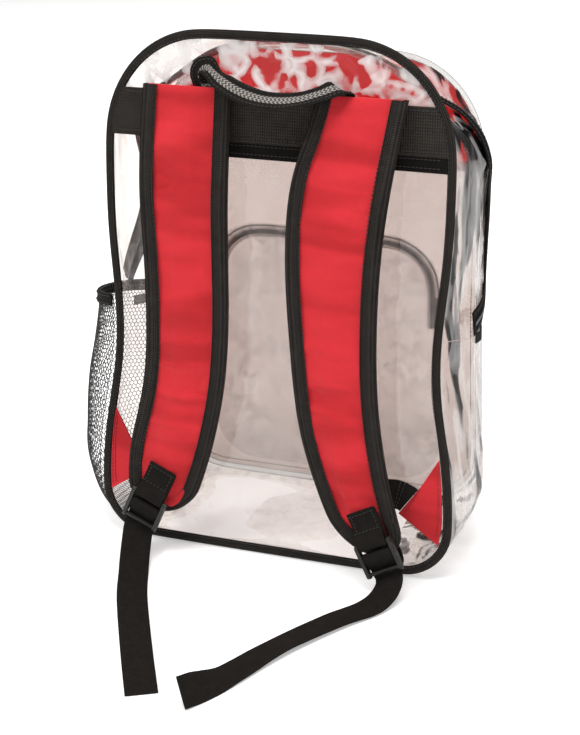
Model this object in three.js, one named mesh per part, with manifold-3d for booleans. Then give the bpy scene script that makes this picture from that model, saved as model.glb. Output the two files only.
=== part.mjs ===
// Clear stadium backpack. Millimetres, +Z up. The wearer's side faces -Y, and the bag stands on z = 0.

import * as THREE from "three";
import { mergeVertices } from "three/addons/utils/BufferGeometryUtils.js";
import Module from "manifold-3d";

// Driving dimensions of the bag
const backHalfWidth = 152;
const backTop = 432;
const backCrownRadius = 88;
const backFootRadius = 40;
const backLean = THREE.MathUtils.degToRad(6.8);
const baseDepth = 140;
const frontNarrowing = 11;
const frontHalfWidth = backHalfWidth - frontNarrowing;
const frontDrop = 34;
const frontTop = backTop - frontDrop;
const frontCrownRadius = 76;
const frontFootRadius = 42;
const frontLean = THREE.MathUtils.degToRad(1);
const film = 1;
const clearance = 0.3;
const layerGap = 0.5;
const bindingHalfWidth = 4;
const bindingHalfDepth = 2.6;
const pipingRadius = 3;
const sideBulge = 14;
const seamSlant = 0.08;
const seamStation = 2.485;

// Driving dimensions of the front
const yokeDrop = 87;
const yokeLap = 8;
const yokeThickness = 1.2;
const pocketHalfWidth = 106;
const pocketBottom = 15;
const pocketTop = 242;
const pocketCrownRadius = 48;
const pocketFootRadius = 38;
const pocketDepth = 12;
const pocketZipInset = 8;
const pocketZipHalfWidth = 6;
const pocketTeethHalfWidth = 1.5;

// Driving dimensions of the zips and tapes
const zipTape = 1;
const zipGap = 0.9;
const zipHalfWidth = 11;
const zipRidge = 1.6;
const zipRidgeHalfWidth = 3;
const sliderLength = 11;
const sliderWidth = 8;
const sliderHeight = 3.4;
const pullLength = 26;
const pullWidth = 7;
const pullThickness = 1.6;
const seamTapeHeight = 9;
const seamTapeThickness = 1;

// Driving dimensions of the webbing, straps and buckles
const webbing = 1.4;
const tapeThickness = 1;
const webbingHalfWidth = 12.5;
const bandDrop = 46;
const bandHeight = 38;
const bandTop = backTop - bandDrop;
const bandBottom = bandTop - bandHeight;
const tapeDrop = 12;
const tapeStart = -0.5;
const handleHalfWidth = 11.5;
const strapDrop = 41;
const strapTop = backTop - strapDrop;
const strapWidth = 72;
const strapRise = 24;
const padHalfThickness = 4.5;
const padEdgeHalfThickness = 1.5;
const strapBinding = 1.2;
const strapBindingWidth = 12;
const tabLength = 29;
const buckleLift = 6.2;
const buckleRail = 3;
const buckleHalfLength = 14.5;
const buckleRailHalfHeight = 2.6;
const buckleBarRadius = 1.75;
const buckleMidHalfHeight = 1.2;
const buckleMidHalfWidth = 2.3;
const buckleSideGap = 0.8;
const buckleTopInset = 0.75;
const buckleLowInset = 1.25;
const buckleMidPlace = -1;
const tailLength = 230;
const cornerTabThickness = 1.6;
const cornerTabMargin = 2;

// Driving dimensions of the net pocket
const netThickness = 1;
const netBulge = 34;
const netBandHeight = 11;
const netBandThickness = 1.4;
const netFootStation = 1.45;
const netTopStation = 2.525;

const clearFilm = { color: 0xe6e2df, roughness: 0.12, metalness: 0 };
const greyFilm = { color: 0x9a9694, roughness: 0.3, metalness: 0 };
const redFabric = { color: 0xd8323a, roughness: 0.85, metalness: 0 };
const blackWebbing = { color: 0x2b2825, roughness: 0.8, metalness: 0 };
const blackPlastic = { color: 0x1f1d1c, roughness: 0.4, metalness: 0 };
const darkMetal = { color: 0x3a3836, roughness: 0.35, metalness: 0.6 };
const blackNet = { color: 0x2f2c2a, roughness: 0.7, metalness: 0 };

// Widths of the outlines, as shares of their half widths, by height as a share of their tops
const backWaist = [
  { height: 0, width: 1 },
  { height: 0.14, width: 1 },
  { height: 0.24, width: 0.975 },
  { height: 0.33, width: 0.92 },
  { height: 0.42, width: 0.9 },
  { height: 0.5, width: 0.91 },
  { height: 0.62, width: 0.945 },
  { height: 0.75, width: 0.95 },
  { height: 1, width: 0.95 },
];
const frontWaist = [
  { height: 0, width: 1 },
  { height: 0.2, width: 1 },
  { height: 0.42, width: 0.99 },
  { height: 0.7, width: 0.995 },
  { height: 1, width: 0.98 },
];
// Where the middle of the main zip lies between back (0) and front (1), by station
const rightZipRun = [
  { station: 2.525, depth: 0.42 },
  { station: 2.55, depth: 0.58 },
  { station: 2.6, depth: 0.78 },
  { station: 2.66, depth: 0.85 },
  { station: 2.74, depth: 0.85 },
  { station: 2.86, depth: 0.76 },
  { station: 3, depth: 0.64 },
  { station: 3.5, depth: 0.5 },
  { station: 4, depth: 0.47 },
  { station: 5, depth: 0.5 },
];
const leftZipRun = [
  { station: 2.56, depth: 0.4 },
  { station: 2.6, depth: 0.5 },
  { station: 2.66, depth: 0.63 },
  { station: 2.74, depth: 0.76 },
  { station: 2.86, depth: 0.84 },
  { station: 3, depth: 0.76 },
  { station: 3.5, depth: 0.58 },
  { station: 4, depth: 0.5 },
  { station: 5, depth: 0.5 },
];
// How far the gusset stands out at its middle, as a share of its side bulge: the limp crown sags in
const crownFill = [
  { station: 3, fill: 1 },
  { station: 3.2, fill: 0.35 },
  { station: 3.45, fill: -0.9 },
  { station: 3.75, fill: -1.1 },
  { station: 4.15, fill: -0.35 },
  { station: 5, fill: 0.1 },
];
// How far the net pocket stands off, as a share of its bulge, from its foot (0) to its top (1)
const netFill = [
  { up: 0, fill: 0.03 },
  { up: 0.12, fill: 0.4 },
  { up: 0.3, fill: 0.7 },
  { up: 0.5, fill: 0.88 },
  { up: 0.75, fill: 1 },
  { up: 1, fill: 0.74 },
];
// Shoulder straps: heights are shares of the back's top, centres of its half width, widths of the strap
const leftStrap = {
  side: -1,
  tipStart: 0.142,
  tipEnd: 0.08,
  run: [
    { height: 0.08, centre: 0.6, width: 0.84 },
    { height: 0.142, centre: 0.58, width: 0.9 },
    { height: 0.181, centre: 0.56, width: 1 },
    { height: 0.238, centre: 0.526, width: 1 },
    { height: 0.315, centre: 0.468, width: 0.975 },
    { height: 0.391, centre: 0.442, width: 0.972 },
    { height: 0.472, centre: 0.432, width: 0.986 },
    { height: 0.604, centre: 0.442, width: 1 },
    { height: 0.731, centre: 0.467, width: 1.05 },
    { height: 0.905, centre: 0.474, width: 1.03 },
  ],
};
const rightStrap = {
  side: 1,
  tipStart: 0.127,
  tipEnd: 0.055,
  run: [
    { height: 0.055, centre: 0.66, width: 0.84 },
    { height: 0.127, centre: 0.566, width: 0.84 },
    { height: 0.15, centre: 0.533, width: 0.855 },
    { height: 0.231, centre: 0.474, width: 0.91 },
    { height: 0.285, centre: 0.434, width: 0.951 },
    { height: 0.354, centre: 0.408, width: 0.958 },
    { height: 0.451, centre: 0.388, width: 0.986 },
    { height: 0.606, centre: 0.375, width: 1.07 },
    { height: 0.757, centre: 0.401, width: 1.12 },
    { height: 0.836, centre: 0.451, width: 1.04 },
    { height: 0.905, centre: 0.487, width: 1 },
  ],
};
// How far the middle of a strap stands off the back, as a share of its rise
const strapLift = [
  { height: 0, lift: 0.9 },
  { height: 0.25, lift: 0.92 },
  { height: 0.5, lift: 1 },
  { height: 0.68, lift: 0.92 },
  { height: 0.8, lift: 0.62 },
  { height: 0.905, lift: 0.33 },
];
// Buckle places on the back, as shares of its half width and top, with the way they hang
const leftBuckle = { centre: 0.671, height: 0.088, hang: THREE.MathUtils.degToRad(23.5) };
const rightBuckle = { centre: 0.691, height: 0.0625, hang: THREE.MathUtils.degToRad(26.8) };
// Corner tabs: where they leave the binding and where the webbing comes out, as shares
const leftCorner = { low: 0.092, high: 0.262, mouthCentre: 0.786, mouthHeight: 0.173 };
const rightCorner = { low: 0.074, high: 0.243, mouthCentre: 0.786, mouthHeight: 0.155 };
const mouthTurn = THREE.MathUtils.degToRad(54.1);
// Loose ends, from where they leave the buckle: shares of the tail's length, lift of its height there
const leftTail = [
  { right: 0, forward: 0, lift: 1, bearing: 0, bank: -23.5 },
  { right: 0.004, forward: -0.03, lift: 0.62, bearing: 5, bank: -18 },
  { right: 0.018, forward: -0.083, lift: 0.25, bearing: 12, bank: -9 },
  { right: 0.048, forward: -0.165, lift: 0.04, bearing: 22, bank: 0 },
  { right: 0.105, forward: -0.3, lift: 0, bearing: 27, bank: 0 },
  { right: 0.274, forward: -0.626, lift: 0, bearing: 27, bank: 0 },
  { right: 0.404, forward: -0.865, lift: 0, bearing: 27, bank: 0 },
];
const rightTail = [
  { right: 0, forward: 0, lift: 1, bearing: 0, bank: 26.8 },
  { right: 0.008, forward: -0.022, lift: 0.58, bearing: -5, bank: 20 },
  { right: 0.002, forward: -0.065, lift: 0.2, bearing: -14, bank: 9 },
  { right: -0.025, forward: -0.13, lift: 0.03, bearing: -24, bank: 2 },
  { right: -0.112, forward: -0.25, lift: 0, bearing: -29, bank: 5 },
  { right: -0.245, forward: -0.478, lift: 0, bearing: -29, bank: 8 },
  { right: -0.336, forward: -0.69, lift: 0.085, bearing: -30, bank: -4 },
  { right: -0.409, forward: -0.88, lift: 0.06, bearing: -35, bank: -60 },
];
// Haul handle: centres are shares of the back's half width, heights of its top, lifts of the strap's rise
const handleRun = [
  { centre: -0.37, height: 0.862, lift: 0.142, twist: 0 },
  { centre: -0.372, height: 0.906, lift: 0.14, twist: 0 },
  { centre: -0.385, height: 0.926, lift: 0.28, twist: 22 },
  { centre: -0.345, height: 0.938, lift: 0.52, twist: 55 },
  { centre: -0.255, height: 0.922, lift: 0.76, twist: 80 },
  { centre: -0.13, height: 0.902, lift: 0.88, twist: 90 },
  { centre: 0.02, height: 0.893, lift: 0.9, twist: 90 },
  { centre: 0.16, height: 0.897, lift: 0.86, twist: 86 },
  { centre: 0.28, height: 0.909, lift: 0.64, twist: 68 },
  { centre: 0.35, height: 0.918, lift: 0.38, twist: 36 },
  { centre: 0.37, height: 0.91, lift: 0.2, twist: 4 },
  { centre: 0.37, height: 0.895, lift: 0.152, twist: 0 },
  { centre: 0.37, height: 0.862, lift: 0.144, twist: 0 },
];

const wasm = await Module();
wasm.setup();

const crownStation = 5;
const lerp = THREE.MathUtils.lerp;
const clamp = THREE.MathUtils.clamp;
const clearFabricGap = film / 2 + clearance;

// One column of a table at a place along it, eased from row to row
function tableValue(table, place, column) {
  const key = Object.keys(table[0])[0];
  const next = table.findIndex((row) => row[key] >= place);
  if (next === 0) return table[0][column];
  if (next < 0) return table.at(-1)[column];
  const slope = (i) => {
    const before = table[Math.max(i - 1, 0)];
    const after = table[Math.min(i + 1, table.length - 1)];
    return (after[column] - before[column]) / (after[key] - before[key]);
  };
  const [low, high] = [table[next - 1], table[next]];
  const span = high[key] - low[key];
  const t = (place - low[key]) / span;
  const rise = high[column] - low[column];
  const bend = (slope(next - 1) * span - rise) * (1 - t) - (slope(next) * span - rise) * t;
  return low[column] + rise * t + t * (1 - t) * bend;
}

function steps(from, to, count) {
  return Array.from({ length: count + 1 }, (_, i) => lerp(from, to, i / count));
}

// A leaning plane of the bag: facing -1 looks back to the wearer, 1 looks forward
function leaningPlane(y, lean, facing) {
  const up = new THREE.Vector3(0, Math.sin(lean), Math.cos(lean));
  const out = new THREE.Vector3(0, facing * Math.cos(lean), -facing * Math.sin(lean));
  const at = (x, height, lift) =>
    new THREE.Vector3(x, y, 0).addScaledVector(up, height).addScaledVector(out, lift);
  return { up, out, at };
}
const backFoot = bindingHalfWidth + clearance;
const frontFoot = pipingRadius + clearance;
const backPlane = leaningPlane(-baseDepth / 2, backLean, -1);
const frontPlane = leaningPlane(baseDepth / 2, frontLean, 1);

const backOutline = {
  halfWidth: backHalfWidth,
  base: backFoot / Math.cos(backLean),
  top: backTop,
  crownRadius: backCrownRadius,
  footRadius: backFootRadius,
  waist: backWaist,
};
const frontOutline = {
  halfWidth: frontHalfWidth,
  base: frontFoot / Math.cos(frontLean),
  top: frontTop,
  crownRadius: frontCrownRadius,
  footRadius: frontFootRadius,
  waist: frontWaist,
};
const pocketOutline = {
  halfWidth: pocketHalfWidth,
  base: pocketBottom,
  top: pocketTop,
  crownRadius: pocketCrownRadius,
  footRadius: pocketFootRadius,
  waist: [
    { height: 0, width: 1 },
    { height: 1, width: 1 },
  ],
};

// A place on an outline. Stations run from 0 (middle of the foot) by 1 to 2 (foot corner), 3 (foot of
// the crown corner) and 4 to 5 (middle of the crown), and are negative on the left.
function outlinePoint(outline, station, inset = 0) {
  const s = Math.abs(station);
  const w = outline.halfWidth - inset;
  const base = outline.base + inset;
  const top = outline.top - inset;
  const foot = outline.footRadius - inset;
  const crown = outline.crownRadius - inset;
  const [sin, cos] = [Math.sin(((s % 1) * Math.PI) / 2), Math.cos(((s % 1) * Math.PI) / 2)];
  let x = w;
  let height = lerp(base + foot, top - crown, clamp(s - 2, 0, 1));
  if (s <= 1) [x, height] = [s * (w - foot), base];
  else if (s < 2) [x, height] = [w - foot + foot * sin, base + foot - foot * cos];
  else if (s > 3 && s < 4) [x, height] = [w - crown + crown * cos, top - crown + crown * sin];
  else if (s >= 4) [x, height] = [(crownStation - s) * (w - crown), top];
  const waist = tableValue(outline.waist, height / outline.top, "width");
  return [(station < 0 ? -x : x) * waist, height];
}

function stationOfHeight(outline, height) {
  const low = outline.base + outline.footRadius;
  return 2 + (height - low) / (outline.top - outline.crownRadius - low);
}

// Closes a stack of equal rings into a solid; each ring is its upper points, then its lower ones back
function ringSolid(rings, closed = false) {
  const size = rings[0].length;
  const half = size / 2;
  const index = [];
  const quad = (a, b, c, d, slant) => {
    if (slant) index.push(a, b, d, b, c, d);
    else index.push(a, b, c, a, c, d);
  };
  const spans = closed ? rings.length : rings.length - 1;
  for (let i = 0; i < spans; i++) {
    const here = i * size;
    const there = ((i + 1) % rings.length) * size;
    for (let k = 0; k < size; k++) {
      const next = (k + 1) % size;
      quad(here + k, here + next, there + next, there + k, k >= half);
    }
  }
  if (!closed) {
    const last = (rings.length - 1) * size;
    for (let k = 0; k < half - 1; k++) {
      quad(size - 1 - k, size - 2 - k, k + 1, k, false);
      quad(last + k, last + k + 1, last + size - 2 - k, last + size - 1 - k, false);
    }
  }
  return facingOut(geometryOf(rings.flat(), index));
}

function geometryOf(points, index) {
  const geometry = new THREE.BufferGeometry().setFromPoints(points);
  return geometry.setIndex(index);
}

function facingOut(geometry) {
  const p = geometry.getAttribute("position");
  const index = geometry.getIndex().array;
  const [a, b, c] = [new THREE.Vector3(), new THREE.Vector3(), new THREE.Vector3()];
  let volume = 0;
  for (let i = 0; i < index.length; i += 3) {
    a.fromBufferAttribute(p, index[i]);
    b.fromBufferAttribute(p, index[i + 1]);
    c.fromBufferAttribute(p, index[i + 2]);
    volume += a.dot(b.cross(c));
  }
  if (volume < 0) {
    for (let i = 0; i < index.length; i += 3) [index[i], index[i + 1]] = [index[i + 1], index[i]];
  }
  return geometry;
}

// A sheet over rows and columns: place(row, column, lift) gives a point, low and high its two faces
function sheet({ rows, columns, place, low, high, closed }) {
  const value = (face, row, column) => (typeof face === "function" ? face(row, column) : face);
  const rings = rows.map((row) => [
    ...columns.map((column) => place(row, column, value(high, row, column))),
    ...columns.toReversed().map((column) => place(row, column, value(low, row, column))),
  ]);
  return ringSolid(rings, closed);
}

// Adds a lift along the true normal of a surface of two values
function lifted(surface, rowStep, columnStep) {
  return (row, column, lift) => {
    const along = surface(row + rowStep, column).sub(surface(row - rowStep, column));
    const across = surface(row, column + columnStep).sub(surface(row, column - columnStep));
    const normal = across.cross(along).normalize();
    return surface(row, column).addScaledVector(normal, lift);
  };
}

const group = new THREE.Group();

function add(name, material, geometry) {
  geometry.computeVertexNormals();
  const mesh = new THREE.Mesh(geometry, new THREE.MeshStandardMaterial(material));
  mesh.name = name;
  group.add(mesh);
}

// Gusset: the wall that runs round the bag between the back and front outlines
function outwardAt(station) {
  const s = Math.abs(station);
  const turn = ((s % 1) * Math.PI) / 2;
  let out = new THREE.Vector3(0, 0, -1);
  if (s > 1 && s < 2) out = new THREE.Vector3(Math.sin(turn), 0, -Math.cos(turn));
  else if (s >= 2 && s <= 3) out = new THREE.Vector3(1, 0, 0);
  else if (s > 3 && s < 4) out = new THREE.Vector3(Math.cos(turn), 0, Math.sin(turn));
  else if (s >= 4) out = new THREE.Vector3(0, 0, 1);
  if (station < 0) out.x = -out.x;
  return out;
}

const footFlat = 0.12;

function gussetBulge(station, depth) {
  const s = Math.abs(station);
  const round = Math.sin(Math.PI * clamp(depth, 0, 1));
  const edge = THREE.MathUtils.smoothstep(Math.min(depth, 1 - depth), 0, footFlat);
  const foot = lerp(backFoot, frontFoot, depth) * edge;
  if (s <= 1) return foot;
  if (s <= 2) return lerp(foot, sideBulge * round, (s - 1) ** 2);
  if (s <= 3) return sideBulge * round;
  return sideBulge * tableValue(crownFill, s, "fill") * round;
}

// The side seams slope down towards the front, and all that lies near them slopes with them
const slantReach = 0.7;

function slanted(station, depth) {
  const s = Math.abs(station);
  const share = clamp(1 - Math.abs(s - seamStation) / slantReach, 0, 1);
  const moved = s + seamSlant * (0.5 - depth) * share;
  return station < 0 ? -moved : moved;
}

function gussetSurface(station, depth) {
  const place = slanted(station, depth);
  const back = backPlane.at(...outlinePoint(backOutline, place), 0);
  const front = frontPlane.at(...outlinePoint(frontOutline, place), 0);
  return back.lerp(front, depth).addScaledVector(outwardAt(place), gussetBulge(place, depth));
}

// Rows run from the right over the crown to the left, or from the right under the foot to the left
const overCrown = (row) => (row > crownStation ? row - 2 * crownStation : row);
const stationStep = 0.004;
const depthStep = 0.01;
const gussetAt = lifted(gussetSurface, stationStep, depthStep);
const gussetOver = (row, depth, lift) => gussetAt(overCrown(row), depth, lift);

function depthAt(row) {
  const back = backPlane.at(...outlinePoint(backOutline, row), 0);
  return back.distanceTo(frontPlane.at(...outlinePoint(frontOutline, row), 0));
}
const rearEdge = (row) => (bindingHalfDepth + clearance) / depthAt(row);
const frontEdge = (row) => 1 - (pipingRadius + clearance) / depthAt(row);

const mirrored = (rows, centre) => [...rows, ...rows.toReversed().map((row) => 2 * centre - row)];
const withoutTwins = (rows) => rows.filter((row, i) => i === 0 || Math.abs(row - rows[i - 1]) > 1e-6);
const hookTop = 3;
const zipSide = (run) => [
  ...steps(run[0].station, run[hookTop].station, 4),
  ...steps(run[hookTop].station, 3, 4),
  ...steps(3, 4, 7),
];
const zipRows = withoutTwins([
  ...zipSide(rightZipRun),
  crownStation,
  ...zipSide(leftZipRun).toReversed().map((row) => 2 * crownStation - row),
]);
const seamGapStations = clearance / (backTop / 2);
const upperStart = seamStation + seamGapStations;
const upperRows = [upperStart, ...zipRows, 2 * crownStation - upperStart];

// The main zip's middle, and how far its tape reaches to each side of it in shares of the depth
function zipDepth(row) {
  const station = overCrown(row);
  return tableValue(station < 0 ? leftZipRun : rightZipRun, Math.abs(station), "depth");
}

function zipReach(row, width) {
  const here = gussetSurface(overCrown(row), zipDepth(row));
  const inner = row > crownStation ? row - stationStep : row + stationStep;
  const straight = gussetSurface(overCrown(inner), zipDepth(row)).distanceTo(here);
  const shift = (zipDepth(inner) - zipDepth(row)) * depthAt(Math.abs(overCrown(row)));
  return (width * Math.hypot(1, shift / straight)) / depthAt(Math.abs(overCrown(row)));
}

add("gusset_lower", clearFilm, sheet({
  rows: withoutTwins(mirrored([
    ...steps(seamStation - seamGapStations, 2, 4),
    ...steps(2, 1, 6),
    0,
  ], 0)),
  columns: [0, 0.05, footFlat, 0.32, 0.5, 0.68, 1 - footFlat, 0.95, 1],
  place: (row, share, lift) => gussetAt(row, clamp(share, rearEdge(row), frontEdge(row)), lift),
  low: -film,
  high: 0,
}));

add("gusset_rear", clearFilm, sheet({
  rows: upperRows,
  columns: steps(0, 1, 3),
  place: (row, share, lift) => {
    const edge = zipDepth(row) - zipReach(row, zipRidgeHalfWidth / 2);
    return gussetOver(row, lerp(rearEdge(overCrown(row)), edge, share), lift);
  },
  low: -film,
  high: 0,
}));

add("gusset_front", clearFilm, sheet({
  rows: upperRows,
  columns: steps(0, 1, 3),
  place: (row, share, lift) => {
    const edge = zipDepth(row) + zipReach(row, zipRidgeHalfWidth / 2);
    return gussetOver(row, lerp(edge, frontEdge(overCrown(row)), share), lift);
  },
  low: -film,
  high: 0,
}));

// A ribbon lying on the gusset: its edges stay square to its middle line
function zipPlace(row, across, lift) {
  const station = overCrown(row);
  const way = row > crownStation ? -1 : 1;
  const above = gussetSurface(station + stationStep, zipDepth(row));
  const span = above.distanceTo(gussetSurface(station - stationStep, zipDepth(row)));
  const perStation = span / (2 * stationStep);
  const perDepth = depthAt(Math.abs(station));
  const slope = (zipDepth(row + way * stationStep) - zipDepth(row)) / stationStep;
  const run = new THREE.Vector2(perStation, slope * perDepth).normalize();
  const outer = clamp(across, -1, 1) * zipHalfWidth;
  const moved = station - (Math.sign(station) * run.y * outer) / perStation;
  return gussetAt(moved, zipDepth(row) + (run.x * outer) / perDepth, lift);
}

const ridgeShare = zipRidgeHalfWidth / zipHalfWidth;
const ridgeTopShare = ridgeShare * 0.7;
add("main_zip", blackWebbing, sheet({
  rows: zipRows,
  columns: [-1, -ridgeShare, -ridgeTopShare, ridgeTopShare, ridgeShare, 1],
  place: zipPlace,
  low: zipGap,
  high: (row, across) => zipGap + zipTape + (Math.abs(across) <= ridgeTopShare ? zipRidge : 0),
}));

// A box whose middle sits at a point, with its sides along three directions
function placedBox(length, width, height, at, along, across) {
  const out = along.clone().cross(across).normalize();
  const side = out.clone().cross(along).normalize();
  const frame = new THREE.Matrix4().makeBasis(along, side, out).setPosition(at);
  return new THREE.BoxGeometry(length, width, height).applyMatrix4(frame);
}

function solidOf(geometry) {
  const bare = geometry.clone();
  bare.deleteAttribute("normal");
  bare.deleteAttribute("uv");
  const merged = mergeVertices(bare, 1e-4);
  return new wasm.Manifold(new wasm.Mesh({
    numProp: 3,
    vertProperties: merged.getAttribute("position").array,
    triVerts: new Uint32Array(merged.getIndex().array),
  }));
}

function joined(geometries) {
  const mesh = geometries.map(solidOf).reduce((whole, part) => whole.add(part)).getMesh();
  const geometry = new THREE.BufferGeometry();
  geometry.setAttribute("position", new THREE.BufferAttribute(mesh.vertProperties, 3));
  return geometry.setIndex(new THREE.BufferAttribute(mesh.triVerts, 1));
}

// A zip slider over the teeth at one place, with its pull hanging along the zip
function addSlider(name, place, row, rowStep, ridge) {
  const foot = place(row, 0, ridge + 2 * clearance);
  const along = place(row + rowStep, 0, ridge + 2 * clearance).sub(foot).normalize();
  const across = place(row, 0.3, 0).sub(place(row, -0.3, 0)).normalize();
  const out = along.clone().cross(across).normalize();
  if (out.dot(place(row, 0, ridge + 1).sub(place(row, 0, ridge))) < 0) out.negate();
  const body = foot.clone().addScaledVector(out, sliderHeight / 2);
  add(name, darkMetal, placedBox(sliderLength, sliderWidth, sliderHeight, body, along, across));
  const top = foot.clone().addScaledVector(out, sliderHeight + clearance + pullThickness / 2);
  const hang = top.addScaledVector(along, (pullLength - sliderLength) / 2);
  const pull = placedBox(pullLength, pullWidth, pullThickness, hang, along, across);
  return pull;
}

const zipLift = zipGap + zipTape + zipRidge;
const sliderRow = 2 * crownStation - leftZipRun[hookTop].station;
const pullStep = -0.04;
const mainPull = addSlider("main_zip_slider", zipPlace, sliderRow, pullStep, zipLift);
add("main_zip_pull", blackPlastic, mainPull);

// Black tape over the front part of each side seam
const sideStation = backTop - backCrownRadius - backFootRadius - backOutline.base;
for (const [name, side] of [["side_seam_tape_left", -1], ["side_seam_tape_right", 1]]) {
  const below = (seamTapeHeight * 0.65) / sideStation;
  const above = (seamTapeHeight * 0.35) / sideStation;
  add(name, blackWebbing, sheet({
    rows: steps(seamStation - below, seamStation + above, 1),
    columns: steps(0.5, 1, 5),
    place: (row, depth, lift) => gussetAt(side * row, Math.min(depth, frontEdge(row)), lift),
    low: layerGap,
    high: layerGap + seamTapeThickness,
  }));
}

// Back and front sheets: rows are stations on the right side, columns run from left to right
function panelPlace(plane, outline, inset, dome = () => 0) {
  return (station, across, lift) => {
    const [x, height] = outlinePoint(outline, station, inset);
    return plane.at(across * x, height, lift + dome(across * x, height));
  };
}
const rimCounts = [1, 6, 8, 7, 1];
const rimStations = withoutTwins(rimCounts.flatMap((count, i) => steps(i, i + 1, count)));
const panelRows = (from, to) => {
  const between = rimStations.filter((station) => station > from + 0.02 && station < to - 0.02);
  return [from, ...between, to];
};
const panelColumns = steps(-1, 1, 2);

add("back_panel", clearFilm, sheet({
  rows: panelRows(1, 4),
  columns: panelColumns,
  place: panelPlace(backPlane, backOutline, bindingHalfWidth + clearance),
  low: -film / 2,
  high: film / 2,
}));

const yokeBottom = frontTop - yokeDrop;
const frontInset = pipingRadius + clearance;
const yokeStation = stationOfHeight(frontOutline, yokeBottom);
add("front_panel", clearFilm, sheet({
  rows: panelRows(1, yokeStation),
  columns: panelColumns,
  place: panelPlace(frontPlane, frontOutline, frontInset),
  low: -film / 2,
  high: film / 2,
}));
const lapStation = stationOfHeight(frontOutline, yokeBottom - yokeLap);
add("front_yoke", redFabric, sheet({
  rows: panelRows(lapStation, 4),
  columns: panelColumns,
  place: panelPlace(frontPlane, frontOutline, frontInset),
  low: clearFabricGap,
  high: clearFabricGap + yokeThickness,
}));

// Front pocket: a clear dome with an arched top
function pocketHalfWidthAt(height) {
  const { halfWidth, base, top, crownRadius, footRadius } = pocketOutline;
  const low = clamp(base + footRadius - height, 0, footRadius);
  const high = clamp(height - (top - crownRadius), 0, crownRadius);
  const footCut = footRadius - Math.sqrt(footRadius ** 2 - low ** 2);
  const crownCut = crownRadius - Math.sqrt(crownRadius ** 2 - high ** 2);
  return halfWidth - footCut - crownCut;
}
const domePower = 2.5;
function pocketDome(x, height) {
  const across = clamp(Math.abs(x) / pocketHalfWidthAt(height), 0, 1);
  const up = Math.abs((2 * (height - pocketBottom)) / (pocketTop - pocketBottom) - 1);
  return pocketDepth * (1 - across ** domePower) * (1 - clamp(up, 0, 1) ** domePower);
}
const pocketColumns = [-1, -0.9, -0.65, 0, 0.65, 0.9, 1];
add("front_pocket", clearFilm, sheet({
  rows: panelRows(1, 4),
  columns: pocketColumns,
  place: panelPlace(frontPlane, pocketOutline, 0, pocketDome),
  low: clearFabricGap,
  high: clearFabricGap + film,
}));
const pocketZipLow = clearFabricGap + film + layerGap;
function pocketZipPlace(row, across, lift) {
  const inset = pocketZipInset - across * pocketZipHalfWidth;
  const [x, height] = outlinePoint(pocketOutline, overCrown(row), inset);
  return frontPlane.at(x, height, lift + pocketDome(x, height));
}
const teethShare = pocketTeethHalfWidth / pocketZipHalfWidth;
const pocketZipEnd = 2.75;
const pocketSliderRow = 2.9;
const pocketZipRows = withoutTwins(mirrored([
  pocketZipEnd,
  ...steps(3, 4, 5),
  ...steps(4, crownStation, 2),
], crownStation));
add("front_pocket_zip", greyFilm, sheet({
  rows: pocketZipRows,
  columns: [-1, -1.5 * teethShare, -teethShare, teethShare, 1.5 * teethShare, 1],
  place: pocketZipPlace,
  low: pocketZipLow,
  high: (row, across) => pocketZipLow + zipTape * (Math.abs(across) <= teethShare ? 2 : 1),
}));
const pocketTeethLift = pocketZipLow + 2 * zipTape;
const pocketSlider = "front_pocket_slider";
const pocketPull = addSlider(pocketSlider, pocketZipPlace, pocketSliderRow, pullStep, pocketTeethLift);
add("front_pocket_pull", blackPlastic, pocketPull);

// Binding and piping: rounded tubes round the two outlines
const lensEdge = 0.4;
const lens = [
  { share: -1, height: lensEdge },
  { share: 0, height: 1 },
  { share: 1, height: lensEdge },
];
function addRim(name, material, plane, outline, halfWidth, halfDepth) {
  const rows = [...rimStations, ...rimStations.slice(1, -1).toReversed().map((station) => -station)];
  add(name, material, sheet({
    rows,
    columns: lens,
    place: (station, { share }, lift) => {
      const [x, height] = outlinePoint(outline, station, -share * halfWidth);
      return plane.at(x, height, lift);
    },
    low: (row, { height }) => -height * halfDepth,
    high: (row, { height }) => height * halfDepth,
    closed: true,
  }));
}
addRim("back_binding", blackWebbing, backPlane, backOutline, bindingHalfWidth, bindingHalfDepth);
addRim("front_piping", greyFilm, frontPlane, frontOutline, pipingRadius, pipingRadius);

// What ends at the back binding keeps clear of the binding's straight steps
const rimInset = bindingHalfWidth + 3 * clearance;

// Webbing band and smooth tape across the back, under the strap tops
function addBand(name, low, high, thickness, start) {
  add(name, blackWebbing, sheet({
    rows: steps(0, 1, 5),
    columns: [start, 1],
    place: (share, across, lift) => {
      const height = lerp(low, high, share);
      const [edge] = outlinePoint(backOutline, rimStation(height, 2, 4), rimInset);
      return backPlane.at(across * edge, height, lift);
    },
    low: clearFabricGap,
    high: clearFabricGap + thickness,
  }));
}
// The station between two others whose inset outline point lies at a height
function rimStation(height, from, to) {
  let [low, high] = [from, to];
  for (let i = 0; i < 40; i++) {
    const middle = (low + high) / 2;
    if (outlinePoint(backOutline, middle, rimInset)[1] < height) low = middle;
    else high = middle;
  }
  return low;
}
addBand("yoke_band", bandBottom, bandTop, webbing, -1);
addBand("yoke_tape", bandBottom - tapeDrop, bandBottom - clearance, tapeThickness, tapeStart);

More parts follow.
